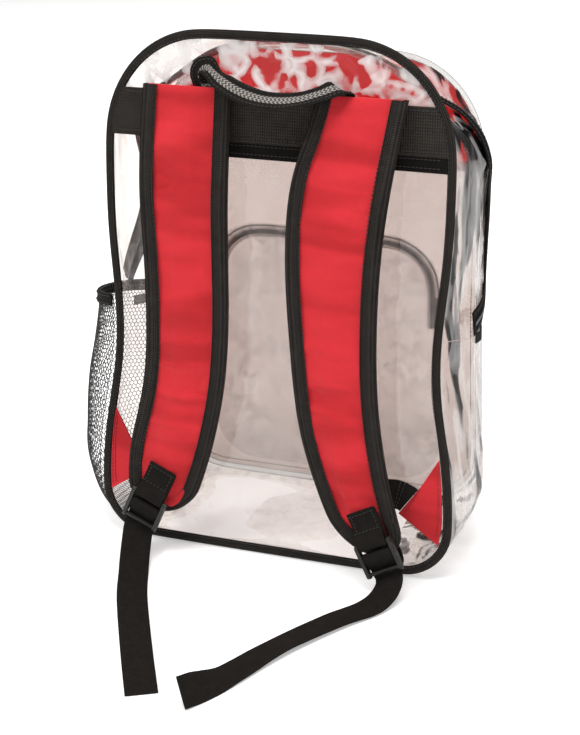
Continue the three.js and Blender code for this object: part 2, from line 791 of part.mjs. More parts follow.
// A ribbon along a smooth line through chosen points, each with its own across direction
function addRibbon(name, material, stops, halfWidth, count) {
  const line = new THREE.CatmullRomCurve3(stops.map((stop) => stop.at), false, "centripetal");
  const rows = steps(0, 1, count);
  const turn = new THREE.Vector3();
  const place = (t, across, lift) => {
    const at = line.getPoint(t);
    const along = line.getTangent(t);
    const reach = t * (stops.length - 1);
    const before = Math.min(Math.floor(reach), stops.length - 2);
    turn.lerpVectors(stops[before].across, stops[before + 1].across, reach - before);
    const side = turn.clone().addScaledVector(along, -turn.dot(along)).normalize();
    const out = side.clone().cross(along);
    return at.addScaledVector(side, across * halfWidth).addScaledVector(out, lift);
  };
  add(name, material, sheet({ rows, columns: [-1, 1], place, low: -webbing / 2, high: webbing / 2 }));
}

addRibbon("haul_handle", blackWebbing, handleRun.map((row) => {
  const twist = THREE.MathUtils.degToRad(row.twist);
  const across = new THREE.Vector3(Math.cos(twist), 0, 0).addScaledVector(backPlane.out, Math.sin(twist));
  return {
    at: backPlane.at(row.centre * backHalfWidth, row.height * backTop, row.lift * strapRise),
    across,
  };
}), handleHalfWidth, 33);

// Shoulder straps
function strapShape(strap) {
  const tipStart = strap.tipStart * backTop;
  const tipEnd = strap.tipEnd * backTop;
  const value = (height, column) => tableValue(strap.run, height / backTop, column);
  const tipShare = (height) => clamp((tipStart - height) / (tipStart - tipEnd), 0, 1);
  const fullHalf = (height) => (value(height, "width") * strapWidth) / 2;
  const centre = (height) => strap.side * value(height, "centre") * backHalfWidth;
  const lift = (height) => tableValue(strapLift, height / backTop, "lift") * strapRise;
  // A point of the strap's middle surface, x measured from its centre line
  const place = (height, x, rise) => backPlane.at(centre(height) + x, height, lift(height) + rise);
  return { tipStart, tipEnd, tipShare, fullHalf, centre, lift, place };
}

const channelHalf = padEdgeHalfThickness + clearance;
const padInset = strapBinding + 2 * clearance;
const padFlat = 25;
const padMargin = 3;

function padRise(shape, height, x) {
  const half = shape.fullHalf(height);
  const edge = (1 - Math.hypot(x / half, shape.tipShare(height))) * half;
  const swell = THREE.MathUtils.smoothstep(edge, strapBindingWidth + padMargin, half - 2 * padMargin);
  const full = lerp(padEdgeHalfThickness, padHalfThickness, swell);
  const top = THREE.MathUtils.smoothstep(strapTop - height, 0, padFlat);
  return lerp(padEdgeHalfThickness, full, top);
}

function addStrap(strap, name) {
  const shape = strapShape(strap);
  const tipRows = [0.997, 0.95, 0.86, 0.72, 0.52, 0.28];
  const tipSpan = shape.tipStart - shape.tipEnd;
  const rows = [
    ...tipRows.map((share) => shape.tipStart - share * tipSpan),
    ...steps(shape.tipStart, strapTop, 11),
  ];
  const halfAt = (height) => shape.fullHalf(height) * Math.sqrt(1 - shape.tipShare(height) ** 2);
  const inner = shape.tipEnd + padInset;
  const padHalf = (height) => {
    const below = halfAt(Math.max(height - padInset, shape.tipEnd));
    return Math.min(Math.max(below - padInset, film), halfAt(height) - strapBinding - clearance);
  };
  add("strap_pad_" + name, redFabric, sheet({
    rows: rows.map((height) => lerp(inner, strapTop, (height - shape.tipEnd) / (strapTop - shape.tipEnd))),
    columns: [-1, -0.6, -0.42, -0.2, 0, 0.2, 0.42, 0.6, 1],
    place: (height, across, lift) => shape.place(height, across * padHalf(height), lift),
    low: (height, across) => -padRise(shape, height, across * halfAt(height)),
    high: (height, across) => padRise(shape, height, across * halfAt(height)),
  }));
  addStrapBinding(shape, name);
  return shape;
}

// Webbing folded round the strap's edge: a channel along its two sides and round the tip
function addStrapBinding(shape, name) {
  const sides = steps(strapTop, shape.tipStart, 11).map((height) => ({ height, angle: 0 }));
  const round = steps(0, Math.PI / 2, 6).slice(1).map((angle) => ({ height: null, angle }));
  const half = [...sides, ...round];
  const path = [
    ...half.map((stop) => ({ ...stop, side: -1 })),
    ...half.slice(0, -1).toReversed().map((stop) => ({ ...stop, side: 1 })),
  ];
  const tipSpan = shape.tipStart - shape.tipEnd;
  const edgePoint = ({ height, angle, side }, inset) => {
    const at = height ?? shape.tipStart - tipSpan * Math.sin(angle);
    const x = side * shape.fullHalf(at) * Math.cos(angle);
    const inward = new THREE.Vector2(-side * Math.cos(angle), Math.sin(angle));
    return { height: at + inward.y * inset, x: x + inward.x * inset, from: at };
  };
  const outer = channelHalf + strapBinding;
  const corner = outer - strapBinding / 2;
  const profile = [
    { inset: strapBindingWidth, lift: outer },
    { inset: 0, lift: corner },
    { inset: 0, lift: -corner },
    { inset: strapBindingWidth, lift: -outer },
    { inset: strapBindingWidth, lift: -channelHalf },
    { inset: strapBinding, lift: -channelHalf },
    { inset: strapBinding, lift: channelHalf },
    { inset: strapBindingWidth, lift: channelHalf },
  ];
  const rings = path.map((stop) => profile.map(({ inset, lift }) => {
    const { height, x, from } = edgePoint(stop, inset);
    const shift = shape.centre(from) - shape.centre(height);
    return shape.place(height, x + shift, lift);
  }));
  add("strap_binding_" + name, blackWebbing, ringSolid(rings));
}

// A buckle's own frame on the back: along hangs down and outwards, out faces the wearer
function buckleFrame(buckle, side, shape) {
  const height = buckle.height * backTop;
  const x = side * buckle.centre * backHalfWidth;
  const lift = shape.lift(height) + padHalfThickness + buckleLift;
  const [sin, cos] = [Math.sin(buckle.hang), Math.cos(buckle.hang)];
  const at = (along, across, out) =>
    backPlane.at(
      x + side * sin * along + cos * across,
      height - cos * along + side * sin * across,
      lift + out,
    );
  const across = new THREE.Vector3(cos, 0, 0).addScaledVector(backPlane.up, side * sin);
  const hang = new THREE.Vector3(side * sin, 0, 0).addScaledVector(backPlane.up, -cos);
  return { at, across, hang };
}

const topBar = -buckleHalfLength + buckleBarRadius + buckleTopInset;
const lowBar = buckleHalfLength - buckleBarRadius - buckleLowInset;
const railInner = webbingHalfWidth + buckleSideGap;

function addBuckle(frame, name) {
  const rail = new THREE.Shape();
  const end = buckleRailHalfHeight;
  rail.absarc(-buckleHalfLength + end, 0, end, Math.PI / 2, (3 * Math.PI) / 2);
  rail.absarc(buckleHalfLength - end, 0, end, -Math.PI / 2, Math.PI / 2);
  const pieces = [-1, 1].map((side) => {
    const made = { depth: buckleRail, bevelEnabled: false, curveSegments: 4 };
    const place = side < 0 ? -railInner - buckleRail : railInner;
    return new THREE.ExtrudeGeometry(rail, made).translate(0, 0, place);
  });
  const length = 2 * railInner + buckleRail;
  for (const along of [topBar, lowBar]) {
    const bar = new THREE.CylinderGeometry(buckleBarRadius, buckleBarRadius, length, 8);
    pieces.push(bar.rotateX(Math.PI / 2).translate(along, 0, 0));
  }
  const flat = new THREE.BoxGeometry(2 * buckleMidHalfWidth, 2 * buckleMidHalfHeight, length);
  pieces.push(flat.translate(buckleMidPlace, 0, 0));
  const out = frame.across.clone().cross(frame.hang).multiplyScalar(-1).normalize();
  const side = frame.hang.clone().cross(out);
  const basis = new THREE.Matrix4().makeBasis(frame.hang, out, side).setPosition(frame.at(0, 0, 0));
  add("buckle_" + name, blackPlastic, joined(pieces).applyMatrix4(basis));
}

// The webbing loop that holds the buckle: down the strap's face, round the top bar and back under
function addStrapTab(frame, name) {
  const under = -buckleLift + clearance + webbing / 2;
  const over = under + webbing + layerGap;
  const round = buckleBarRadius + clearance + webbing / 2;
  const start = topBar - tabLength;
  const path = [
    { along: start, out: over },
    { along: lerp(start, topBar, 0.45), out: over },
    { along: lerp(start, topBar, 0.75), out: lerp(over, round, 0.6) },
    { along: topBar - 1.5, out: round * 0.97 },
    { along: topBar + round * 0.72, out: round * 0.72 },
    { along: topBar + round, out: 0 },
    { along: topBar + round * 0.72, out: -round * 0.72 },
    { along: topBar - 1.5, out: -round * 1.06 },
    { along: lerp(start, topBar, 0.7), out: lerp(under, -round, 0.35) },
    { along: lerp(start, topBar, 0.45), out: under },
    { along: start + 2, out: under },
  ];
  const stops = path.map(({ along, out }) => ({ at: frame.at(along, 0, out), across: frame.across }));
  addRibbon("strap_tab_" + name, blackWebbing, stops, webbingHalfWidth, 30);
}

// Corner tabs, sewn under the binding, with the adjuster webbing coming out of their short side
function addCornerTab(corner, side, name) {
  const mouth = new THREE.Vector2(corner.mouthCentre * backHalfWidth, corner.mouthHeight * backTop);
  const lip = new THREE.Vector2(Math.cos(mouthTurn), Math.sin(mouthTurn));
  add("corner_tab_" + name, redFabric, sheet({
    rows: steps(0, 1, 4),
    columns: [0, 0.5, 1],
    place: (row, share, lift) => {
      const height = lerp(corner.low, corner.high, row) * backTop;
      const [x] = outlinePoint(backOutline, rimStation(height, 1, 3), rimInset);
      const edge = mouth.clone().addScaledVector(lip, (2 * row - 1) * (webbingHalfWidth + cornerTabMargin));
      return backPlane.at(side * lerp(x, edge.x, share), lerp(height, edge.y, share), lift);
    },
    low: clearFabricGap,
    high: clearFabricGap + cornerTabThickness,
  }));
  return { mouth, lip };
}

// Adjuster webbing: from the corner tab, folded behind the strap, round its tip, through the buckle
// and down to the loose end on the floor
function addTail(corner, frame, side, tail, shape, buckle, name) {
  const { mouth, lip } = corner;
  const inward = new THREE.Vector2(-lip.y, lip.x);
  const hang = new THREE.Vector2(Math.sin(buckle.hang), -Math.cos(buckle.hang));
  const flatLift = clearFabricGap + webbing / 2;
  const lift = shape.lift(buckle.height * backTop);
  const behindStrap = lift - channelHalf - strapBinding - padHalfThickness / 2 - webbing;
  // The webbing leaves the tab square to its mouth and turns flat behind the strap until it hangs
  const bendRadius = webbingHalfWidth + cornerTabMargin;
  const bend = Math.atan2(-hang.dot(lip), hang.dot(inward));
  const bendPlace = (angle, run, lifted) => {
    const spoke = lip.clone().multiplyScalar(Math.cos(angle)).addScaledVector(inward, Math.sin(angle));
    const at = mouth.clone().addScaledVector(inward, run).addScaledVector(lip, -bendRadius);
    at.addScaledVector(spoke, bendRadius);
    return {
      at: backPlane.at(side * at.x, at.y, lifted),
      across: new THREE.Vector3(-spoke.x, 0, 0).addScaledVector(backPlane.up, -side * spoke.y),
    };
  };
  const bendStart = 4;
  const loop = [
    bendPlace(0, clearance, flatLift),
    bendPlace(0, bendStart, flatLift + 0.3),
    bendPlace(bend * 0.3, bendStart, lerp(flatLift, behindStrap, 0.2)),
    bendPlace(bend * 0.6, bendStart, lerp(flatLift, behindStrap, 0.55)),
    bendPlace(bend * 0.95, bendStart, lerp(flatLift, behindStrap, 0.95)),
  ];
  const loadOut = -buckleLift + clearance + webbing;
  const behind = behindStrap - (lift + padHalfThickness + buckleLift);
  const middle = (loadOut + behind) / 2;
  const under = -buckleBarRadius - clearance - webbing / 2 - 0.5;
  const slot = (topBar + buckleBarRadius + buckleMidPlace - buckleMidHalfWidth) / 2 + 0.9;
  const over = buckleMidHalfHeight + clearance + webbing / 2;
  const through = [
    { along: -4, out: behind },
    { along: 5, out: behind },
    { along: 10.5, out: lerp(behind, middle, 0.3) },
    { along: 13, out: middle },
    { along: 10.5, out: lerp(loadOut, middle, 0.25) },
    { along: 6, out: loadOut },
    { along: 1, out: loadOut },
    { along: slot + 3, out: loadOut + 0.7 },
    { along: slot + 1, out: under },
    { along: slot, out: -0.3 },
    { along: slot + 1.2, out: over * 0.9 },
    { along: slot + 3.6, out: over + 0.35 },
    { along: buckleMidPlace, out: over + 0.3 },
    { along: buckleMidPlace + 2.6, out: over * 0.9 },
    { along: buckleMidPlace + buckleMidHalfWidth + 3, out: 0.5 },
    { along: buckleMidPlace + buckleMidHalfWidth + 5, out: -1.4 },
    { along: lowBar - buckleBarRadius - 0.8, out: under + 0.35 },
    { along: lowBar + 0.5, out: under },
    { along: lowBar + 4, out: under },
  ];
  const exit = frame.at(lowBar + 5.5, 0, under);
  const loose = tail.map((row) => {
    const bearing = THREE.MathUtils.degToRad(row.bearing);
    const bank = THREE.MathUtils.degToRad(row.bank);
    const rest = webbingHalfWidth * Math.abs(Math.sin(bank)) + webbing / 2 + clearance;
    const height = Math.max(row.lift * exit.z, lerp(rest, exit.z, row.lift));
    const [x, y] = [exit.x + row.right * tailLength, exit.y + row.forward * tailLength];
    const across = new THREE.Vector3(Math.cos(bearing), Math.sin(bearing), Math.tan(bank)).normalize();
    return { at: new THREE.Vector3(x, y, height), across };
  });
  const threaded = through.map(({ along, out }) => ({ at: frame.at(along, 0, out), across: frame.across }));
  addRibbon("strap_tail_" + name, blackWebbing, [...loop, ...threaded, ...loose], webbingHalfWidth, 90);
}

for (const [name, strap, buckle, corner, tail] of [
  ["left", leftStrap, leftBuckle, leftCorner, leftTail],
  ["right", rightStrap, rightBuckle, rightCorner, rightTail],
]) {
  const shape = addStrap(strap, name);
  const frame = buckleFrame(buckle, strap.side, shape);
  addBuckle(frame, name);
  addStrapTab(frame, name);
  const mouth = addCornerTab(corner, strap.side, name);
  addTail(mouth, frame, strap.side, tail, shape, buckle, name);
}

// Net pocket on the left side, open at its top, with an elastic band
const netRoundness = 0.75;
function netSurface(station, depth) {
  const up = (-station - netFootStation) / (netTopStation - netFootStation);
  const round = Math.sin(Math.PI * clamp(depth, 0, 1)) ** netRoundness;
  const off = netBulge * tableValue(netFill, up, "fill") * round;
  return gussetAt(station, depth, layerGap + off);
}
const netAt = lifted(netSurface, 2 * stationStep, 2 * depthStep);
const netEdge = (row, share) => lerp(rearEdge(row) + depthStep, frontEdge(row) - depthStep, share);
const bandStation = netTopStation - netBandHeight / sideStation;
const bandRows = steps(bandStation, netTopStation, 2);
const netRows = withoutTwins([...steps(netFootStation, 2, 4), ...steps(2, bandStation, 4), ...bandRows]);
const netColumns = [0, 0.05, 0.14, 0.3, 0.5, 0.7, 0.86, 0.95, 1];
add("mesh_pocket", blackNet, sheet({
  rows: netRows,
  columns: netColumns,
  place: (row, share, lift) => netAt(-row, netEdge(row, share), lift),
  low: 0,
  high: netThickness,
}));
add("mesh_pocket_band", blackWebbing, sheet({
  rows: bandRows,
  columns: netColumns,
  place: (row, share, lift) => netAt(-row, netEdge(row, share), lift),
  low: netThickness + clearance,
  high: netThickness + clearance + netBandThickness,
}));

export default group;
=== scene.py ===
# Looks of the clear stadium backpack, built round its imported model. Metres, +Z up, the wearer's side faces -Y.

import math

import bmesh
import bpy
import numpy as np
from mathutils import Matrix, Vector, noise


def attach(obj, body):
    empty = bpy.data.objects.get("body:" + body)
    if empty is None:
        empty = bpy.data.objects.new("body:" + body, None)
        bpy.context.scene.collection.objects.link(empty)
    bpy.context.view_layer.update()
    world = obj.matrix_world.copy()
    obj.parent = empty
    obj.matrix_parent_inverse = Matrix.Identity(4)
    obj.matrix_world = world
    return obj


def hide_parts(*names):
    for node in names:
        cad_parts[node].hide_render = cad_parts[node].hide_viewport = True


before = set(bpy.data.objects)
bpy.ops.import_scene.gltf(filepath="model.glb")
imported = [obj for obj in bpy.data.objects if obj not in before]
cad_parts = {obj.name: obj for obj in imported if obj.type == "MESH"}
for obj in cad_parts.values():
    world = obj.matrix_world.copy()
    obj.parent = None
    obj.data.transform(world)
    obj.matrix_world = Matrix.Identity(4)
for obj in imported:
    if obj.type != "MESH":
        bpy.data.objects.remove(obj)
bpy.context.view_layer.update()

# Sizes of the bag that its looks need
BASE_DEPTH = 0.14
BACK_LEAN = math.radians(6.8)
FRONT_LEAN = math.radians(1)
BINDING_WIDTH = 0.012
WEBBING_PITCH = 0.0017
STITCH_PITCH = 0.0034
STITCH_LENGTH = 0.0026
STITCH_WIDTH = 0.00055
ZIP_PITCH = 0.0021
NET_CELL = 0.004
NET_STRAND = 0.0006
HANDLE_TIP = math.radians(26)
PAD_TUCK = 0.95
MERGE = 1e-5

# Camera, fitted to the photograph
IMAGE_HEIGHT_PX = 735
FOCAL_PX = 1779
SENSOR = 36
CAMERA_AT = Vector((0.496, -1.288, 0.739))
CAMERA_YAW = math.radians(21.25)
CAMERA_PITCH = math.radians(23.35)
CAMERA_ROLL = math.radians(-1.83)


# Camera, floor and lights

def make_camera():
    yaw, pitch, roll = CAMERA_YAW, CAMERA_PITCH, CAMERA_ROLL
    forward = Vector((-math.sin(yaw) * math.cos(pitch), math.cos(yaw) * math.cos(pitch), -math.sin(pitch)))
    right = Vector((math.cos(yaw), math.sin(yaw), 0))
    up = right.cross(forward)
    turned_right = right * math.cos(roll) + up * math.sin(roll)
    turned_up = up * math.cos(roll) - right * math.sin(roll)
    camera = bpy.data.objects.new("camera", bpy.data.cameras.new("camera"))
    bpy.context.scene.collection.objects.link(camera)
    camera.matrix_world = Matrix((
        (turned_right.x, turned_up.x, -forward.x, CAMERA_AT.x),
        (turned_right.y, turned_up.y, -forward.y, CAMERA_AT.y),
        (turned_right.z, turned_up.z, -forward.z, CAMERA_AT.z),
        (0, 0, 0, 1),
    ))
    camera.data.sensor_width = SENSOR
    camera.data.lens = SENSOR * FOCAL_PX / IMAGE_HEIGHT_PX
    camera.data.clip_end = 50
    bpy.context.scene.camera = camera


def make_floor():
    reach = 8
    data = bpy.data.meshes.new("floor")
    corners = [(-reach, -reach, 0), (reach, -reach, 0), (reach, reach, 0), (-reach, reach, 0)]
    data.from_pydata(corners, [], [(0, 1, 2, 3)])
    floor = bpy.data.objects.new("floor", data)
    bpy.context.scene.collection.objects.link(floor)
    paint = new_material("floor")
    shader = paint.node_tree.nodes["Principled BSDF"]
    shader.inputs["Base Color"].default_value = (0.96, 0.96, 0.96, 1)
    shader.inputs["Roughness"].default_value = 0.9
    shader.inputs["Emission Color"].default_value = (1, 1, 1, 1)
    shader.inputs["Emission Strength"].default_value = 0.3
    floor.data.materials.append(paint)


def add_light(name, at, towards, size, power, spread=180):
    lamp = bpy.data.lights.new(name, "AREA")
    lamp.shape = "RECTANGLE"
    lamp.size, lamp.size_y = size
    lamp.energy = power
    lamp.spread = math.radians(spread)
    holder = bpy.data.objects.new(name, lamp)
    bpy.context.scene.collection.objects.link(holder)
    holder.location = at
    holder.rotation_euler = (Vector(towards) - Vector(at)).to_track_quat("-Z", "Y").to_euler()


def make_lights():
    middle = (0, 0, 0.22)
    add_light("overhead_box", (0.1, -0.1, 2.6), middle, (1.8, 1.8), 42)
    add_light("key_box", (-1.0, -1.2, 2.1), middle, (0.7, 0.7), 20)
    add_light("right_strip", (1.5, -0.5, 0.8), middle, (0.12, 1.0), 4)
    add_light("front_box", (-0.5, 1.6, 1.2), middle, (1.2, 0.8), 12)
    world = bpy.data.worlds.new("studio")
    world.use_nodes = True
    world.node_tree.nodes["Background"].inputs["Color"].default_value = (1, 1, 1, 1)
    world.node_tree.nodes["Background"].inputs["Strength"].default_value = 0.4
    bpy.context.scene.world = world
    bpy.context.scene.view_settings.view_transform = "Standard"
    bpy.context.scene.cycles.transparent_max_bounces = 48


# Material tools

def new_material(name):
    material = bpy.data.materials.new(name)
    material.use_nodes = True
    return material


class Nodes:
    """Short calls for wiring one material's nodes."""

    def __init__(self, name):
        self.material = new_material(name)
        self.tree = self.material.node_tree
        self.shader = self.tree.nodes["Principled BSDF"]
        self.output = self.tree.nodes["Material Output"]

    def node(self, kind, settings=None, **sockets):
        made = self.tree.nodes.new(kind)
        for key, value in (settings or {}).items():
            setattr(made, key, value)
        for key, value in sockets.items():
            socket = made.inputs[int(key[1:])] if key[0] == "_" else made.inputs[key.replace("_", " ")]
            self.put(socket, value)
        return made

    def put(self, socket, value):
        if isinstance(value, bpy.types.NodeSocket):
            self.tree.links.new(value, socket)
        else:
            socket.default_value = value

    def math(self, operation, *values):
        made = self.tree.nodes.new("ShaderNodeMath")
        made.operation = operation
        for socket, value in zip(made.inputs, values):
            self.put(socket, value)
        return made.outputs[0]

    def coords(self, space, scale=(1, 1, 1)):
        """Coordinates in metres, from the surface's own map or the object, stretched by a scale."""
        source = self.tree.nodes.new("ShaderNodeTexCoord")
        mapping = self.tree.nodes.new("ShaderNodeMapping")
        mapping.inputs["Scale"].default_value = scale
        self.tree.links.new(source.outputs[space], mapping.inputs["Vector"])
        return mapping.outputs[0]

    def noise(self, vector, scale, detail=3.0, rough=0.5, distortion=0.0):
        made = self.node("ShaderNodeTexNoise", Vector=vector, Scale=scale, Detail=detail)
        made.inputs["Roughness"].default_value = rough
        made.inputs["Distortion"].default_value = distortion
        return made.outputs["Fac"]

    def ramp(self, value, *stops):
        """A value eased through (place, level) stops."""
        made = self.tree.nodes.new("ShaderNodeValToRGB")
        self.put(made.inputs[0], value)
        elements = made.color_ramp.elements
        while len(elements) < len(stops):
            elements.new(0.5)
        for element, (place, level) in zip(elements, stops):
            element.position = place
            element.color = (level, level, level, 1)
        return made.outputs[0]

    def colours(self, factor, low, high):
        made = self.node("ShaderNodeMix", {"data_type": "RGBA"})
        self.put(made.inputs[0], factor)
        self.put(made.inputs[6], (*low, 1))
        self.put(made.inputs[7], (*high, 1))
        return made.outputs[2]

    def bump(self, height, distance, strength=1.0, base=None):
        made = self.node("ShaderNodeBump", Height=height, Strength=strength, Distance=distance)
        if base is not None:
            self.put(made.inputs["Normal"], base)
        return made.outputs[0]

    def shine(self, normal):
        """How much a film reflects, the same from both of its sides."""
        slant = self.node("ShaderNodeLayerWeight", Blend=0.5, Normal=normal).outputs["Facing"]
        return self.math("MULTIPLY_ADD", self.math("POWER", slant, 5), 0.5, 0.03)

    def wave(self, value, pitch):
        """A sine of a length in metres, from 0 to 1, once every pitch."""
        angle = self.math("MULTIPLY", value, 2 * math.pi / pitch)
        return self.math("MULTIPLY_ADD", self.math("SINE", angle), 0.5, 0.5)

    def split(self, vector):
        return self.node("ShaderNodeSeparateXYZ", Vector=vector).outputs


# Materials

def film_material(name, tint_and_painted_shade, haze, painted_highlight_amount, painted_dark_reflections, crumple, stretch):
    """Clear soft film: glossy on its dents, with pale glints painted in as highlights and dark blots painted in as
    dark reflections, both in noise patches.
    """
    n = Nodes(name)
    at = n.coords("Object")
    tall = n.coords("Object", (1, 1, stretch))
    soft = n.noise(at, 9, 2, 0.5, 0.4)
    fine = n.noise(tall, 40, 3, 0.55, 1.0)
    normal = n.bump(n.math("MULTIPLY_ADD", fine, crumple, soft), 0.004, 0.8)
    shine = n.shine(normal)
    # Painted glints: pale patches from the star mask, mixed in as white diffuse in place of reflected light.
    painted_highlight_patch = n.math("MULTIPLY", star_mask(n, tall, 46), n.math("MULTIPLY", painted_highlight_amount(n), 0.75))
    # Painted dark reflections: darker patches from this noise stand in for dark things mirrored in the film.
    crease = n.noise(n.coords("Object", (1, 1, stretch * 0.5)), 34, 2, 0.5, 1.4)
    painted_dark_reflection = n.math("MULTIPLY", n.ramp(crease, (0.53, 0), (0.57, 1), (0.68, 1), (0.72, 0.2)), painted_dark_reflections(n))
    # The dark colour here is the painted dark reflection, mixed into the clear film where the blots fall.
    clear = n.node("ShaderNodeBsdfTransparent", Color=n.colours(painted_dark_reflection, tint_and_painted_shade, (0.06, 0.05, 0.045)))
    gloss = n.node("ShaderNodeBsdfGlossy", Roughness=0.05, Normal=normal)
    shiny = n.node("ShaderNodeMixShader", _0=shine, _1=clear.outputs[0], _2=gloss.outputs[0])
    # This white diffuse is the film's own haze, and under the glints a painted highlight.
    white_for_haze_and_highlight = n.node("ShaderNodeBsdfDiffuse", Color=(0.92, 0.9, 0.89, 1))
    haze_and_painted_highlight = n.math("MULTIPLY_ADD", n.ramp(soft, (0.35, 0.2), (0.65, 1)), haze, painted_highlight_patch)
    mixed = n.node("ShaderNodeMixShader", _0=haze_and_painted_highlight, _1=shiny.outputs[0], _2=white_for_haze_and_highlight.outputs[0])
    n.put(n.output.inputs["Surface"], mixed.outputs[0])
    return n.material


def star_mask(n, vector, scale):
    """Pointed patches of painted highlight, shaped like light catching the folds of crumpled film."""
    shake = n.node("ShaderNodeTexNoise", Vector=vector, Scale=scale * 0.6, Detail=2.0)
    bent = n.node("ShaderNodeVectorMath", {"operation": "MULTIPLY_ADD"}, _0=shake.outputs["Color"])
    bent.inputs[1].default_value = (1.7 / scale,) * 3
    n.put(bent.inputs[2], vector)
    cells = n.node("ShaderNodeTexVoronoi", {"feature": "DISTANCE_TO_EDGE"}, Scale=scale)
    n.put(cells.inputs["Vector"], bent.outputs[0])
    edge = n.ramp(cells.outputs["Distance"], (0.03, 0.9), (0.17, 0.4), (0.2, 0))
    part = n.noise(vector, scale * 0.9, 2, 0.6)
    return n.math("MULTIPLY", edge, n.ramp(part, (0.46, 0), (0.49, 0.6), (0.62, 1)))


def level(value):
    """An amount that is the same all over a film."""
    return lambda n: value


def rising(axis, low, high, least, most):
    """An amount that grows along one axis of the bag, between two places in metres."""
    def amount(n):
        place = n.split(n.coords("Object"))[axis]
        made = n.node("ShaderNodeMapRange", {"interpolation_type": "SMOOTHSTEP"}, Value=place)
        for socket, number in zip(("From Min", "From Max", "To Min", "To Max"), (low, high, least, most)):
            made.inputs[socket].default_value = number
        return made.outputs[0]
    return amount


def pocket_tape_material():
    """Clear zip tape that shows as two grey lines."""
    n = Nodes("pocket_tape")
    across = n.math("ADD", n.split(n.coords("UV"))[0], 0.006)
    share = n.math("DIVIDE", across, 0.012)
    wave = n.noise(n.coords("Object", (1, 1, 1)), 60, 2, 0.5)
    lines = n.ramp(share, (0, 0.2), (0.08, 0.8), (0.14, 0.15), (0.52, 0.2), (0.58, 0.95), (0.76, 0.95), (0.8, 0.1))
    n.put(n.shader.inputs["Base Color"], n.colours(wave, (0.06, 0.055, 0.052), (0.2, 0.18, 0.175)))
    n.shader.inputs["Roughness"].default_value = 0.35
    n.put(n.shader.inputs["Normal"], n.bump(wave, 0.0005, 0.4))
    clear = n.node("ShaderNodeBsdfTransparent", Color=(0.9, 0.88, 0.87, 1))
    mixed = n.node("ShaderNodeMixShader", _0=lines, _1=clear.outputs[0], _2=n.shader.outputs[0])
    n.put(n.output.inputs["Surface"], mixed.outputs[0])
    return n.material


def red_material(name, thin):
    """Red plain-woven fabric with painted soft shade, darker in its pucker hollows and in broad soft bands. Thin
    cloth also lets light through.
    """
    n = Nodes(name)
    at = n.split(n.coords("Object"))
    thread = 0.0008
    over = n.wave(at[0], thread)
    under = n.wave(at[2], thread)
    weave = n.math("MULTIPLY", over, under)
    cloud = n.noise(n.coords("Object", (1, 1, 2.2)), 30, 4, 0.6)
    # Painted shade: these broad soft bands, and the pucker noise above, darken the red colour.
    band = n.noise(n.coords("Object", (0.3, 1, 1.6)), 24, 1, 0.5, 0.3)
    bright = n.math("MULTIPLY_ADD", weave, 0.3, n.math("MULTIPLY", cloud, 0.35))
    bright = n.math("MULTIPLY_ADD", n.ramp(band, (0.36, 0), (0.56, 1)), 0.4, bright)
    n.put(n.shader.inputs["Base Color"], n.colours(bright, (0.4, 0.013, 0.016), (0.83, 0.037, 0.05)))
    n.shader.inputs["Roughness"].default_value = 0.82
    n.shader.inputs["Sheen Weight"].default_value = 0.12
    n.shader.inputs["Sheen Roughness"].default_value = 0.4
    n.shader.inputs["Specular IOR Level"].default_value = 0.2
    puckers = n.bump(cloud, 0.002, 0.6)
    n.put(n.shader.inputs["Normal"], n.bump(weave, 0.0003, 0.6, puckers))
    if thin:
        through = n.node("ShaderNodeBsdfTranslucent", Color=(0.95, 0.04, 0.055, 1))
        mixed = n.node("ShaderNodeMixShader", _0=thin, _1=n.shader.outputs[0], _2=through.outputs[0])
        n.put(n.output.inputs["Surface"], mixed.outputs[0])
    return n.material


def webbing_material(name, space, axes, pitch, low, high, stripe=None):
    """Woven webbing: ribs along it and picks across it. The stripe, if any, is a half width in metres."""
    n = Nodes(name)
    at = n.split(n.coords(space))
    across, along = at[axes[0]], at[axes[1]]
    ribs = n.wave(across, pitch * 0.8)
    shifted = n.math("MULTIPLY_ADD", n.math("GREATER_THAN", ribs, 0.5), pitch / 2, along)
    picks = n.wave(shifted, pitch)
    weave = n.math("MULTIPLY", n.math("POWER", ribs, 0.5), picks)
    wear = n.noise(n.coords("Object"), 160, 3, 0.6)
    bright = n.math("MULTIPLY_ADD", wear, 0.3, n.math("MULTIPLY", weave, 0.7))
    colour = n.colours(bright, low, high)
    if stripe:
        inside = n.math("LESS_THAN", n.math("ABSOLUTE", across), stripe)
        zigzag = n.math("PINGPONG", across, pitch * 1.1)
        chevron = n.wave(n.math("ADD", along, zigzag), pitch * 1.8)
        pale = n.colours(chevron, (0.02, 0.018, 0.016), (0.42, 0.39, 0.36))
        both = n.node("ShaderNodeMix", {"data_type": "RGBA"})
        n.put(both.inputs[0], inside)
        n.put(both.inputs[6], colour)
        n.put(both.inputs[7], pale)
        colour = both.outputs[2]
    n.put(n.shader.inputs["Base Color"], colour)
    n.shader.inputs["Roughness"].default_value = 0.72
    n.shader.inputs["Specular IOR Level"].default_value = 0.04
    n.put(n.shader.inputs["Normal"], n.bump(weave, 0.0006, 0.9))
    return n.material


def plastic_material(name, low, high, roughness):
    """Moulded plastic with a fine pebble and slightly rubbed, lighter patches."""
    n = Nodes(name)
    at = n.coords("Object")
    grain = n.noise(at, 1400, 2, 0.5)
    rub = n.noise(at, 120, 4, 0.6)
    n.put(n.shader.inputs["Base Color"], n.colours(rub, low, high))
    n.put(n.shader.inputs["Roughness"], n.math("MULTIPLY_ADD", rub, 0.2, roughness))
    n.put(n.shader.inputs["Normal"], n.bump(grain, 0.00012, 0.5))
    return n.material


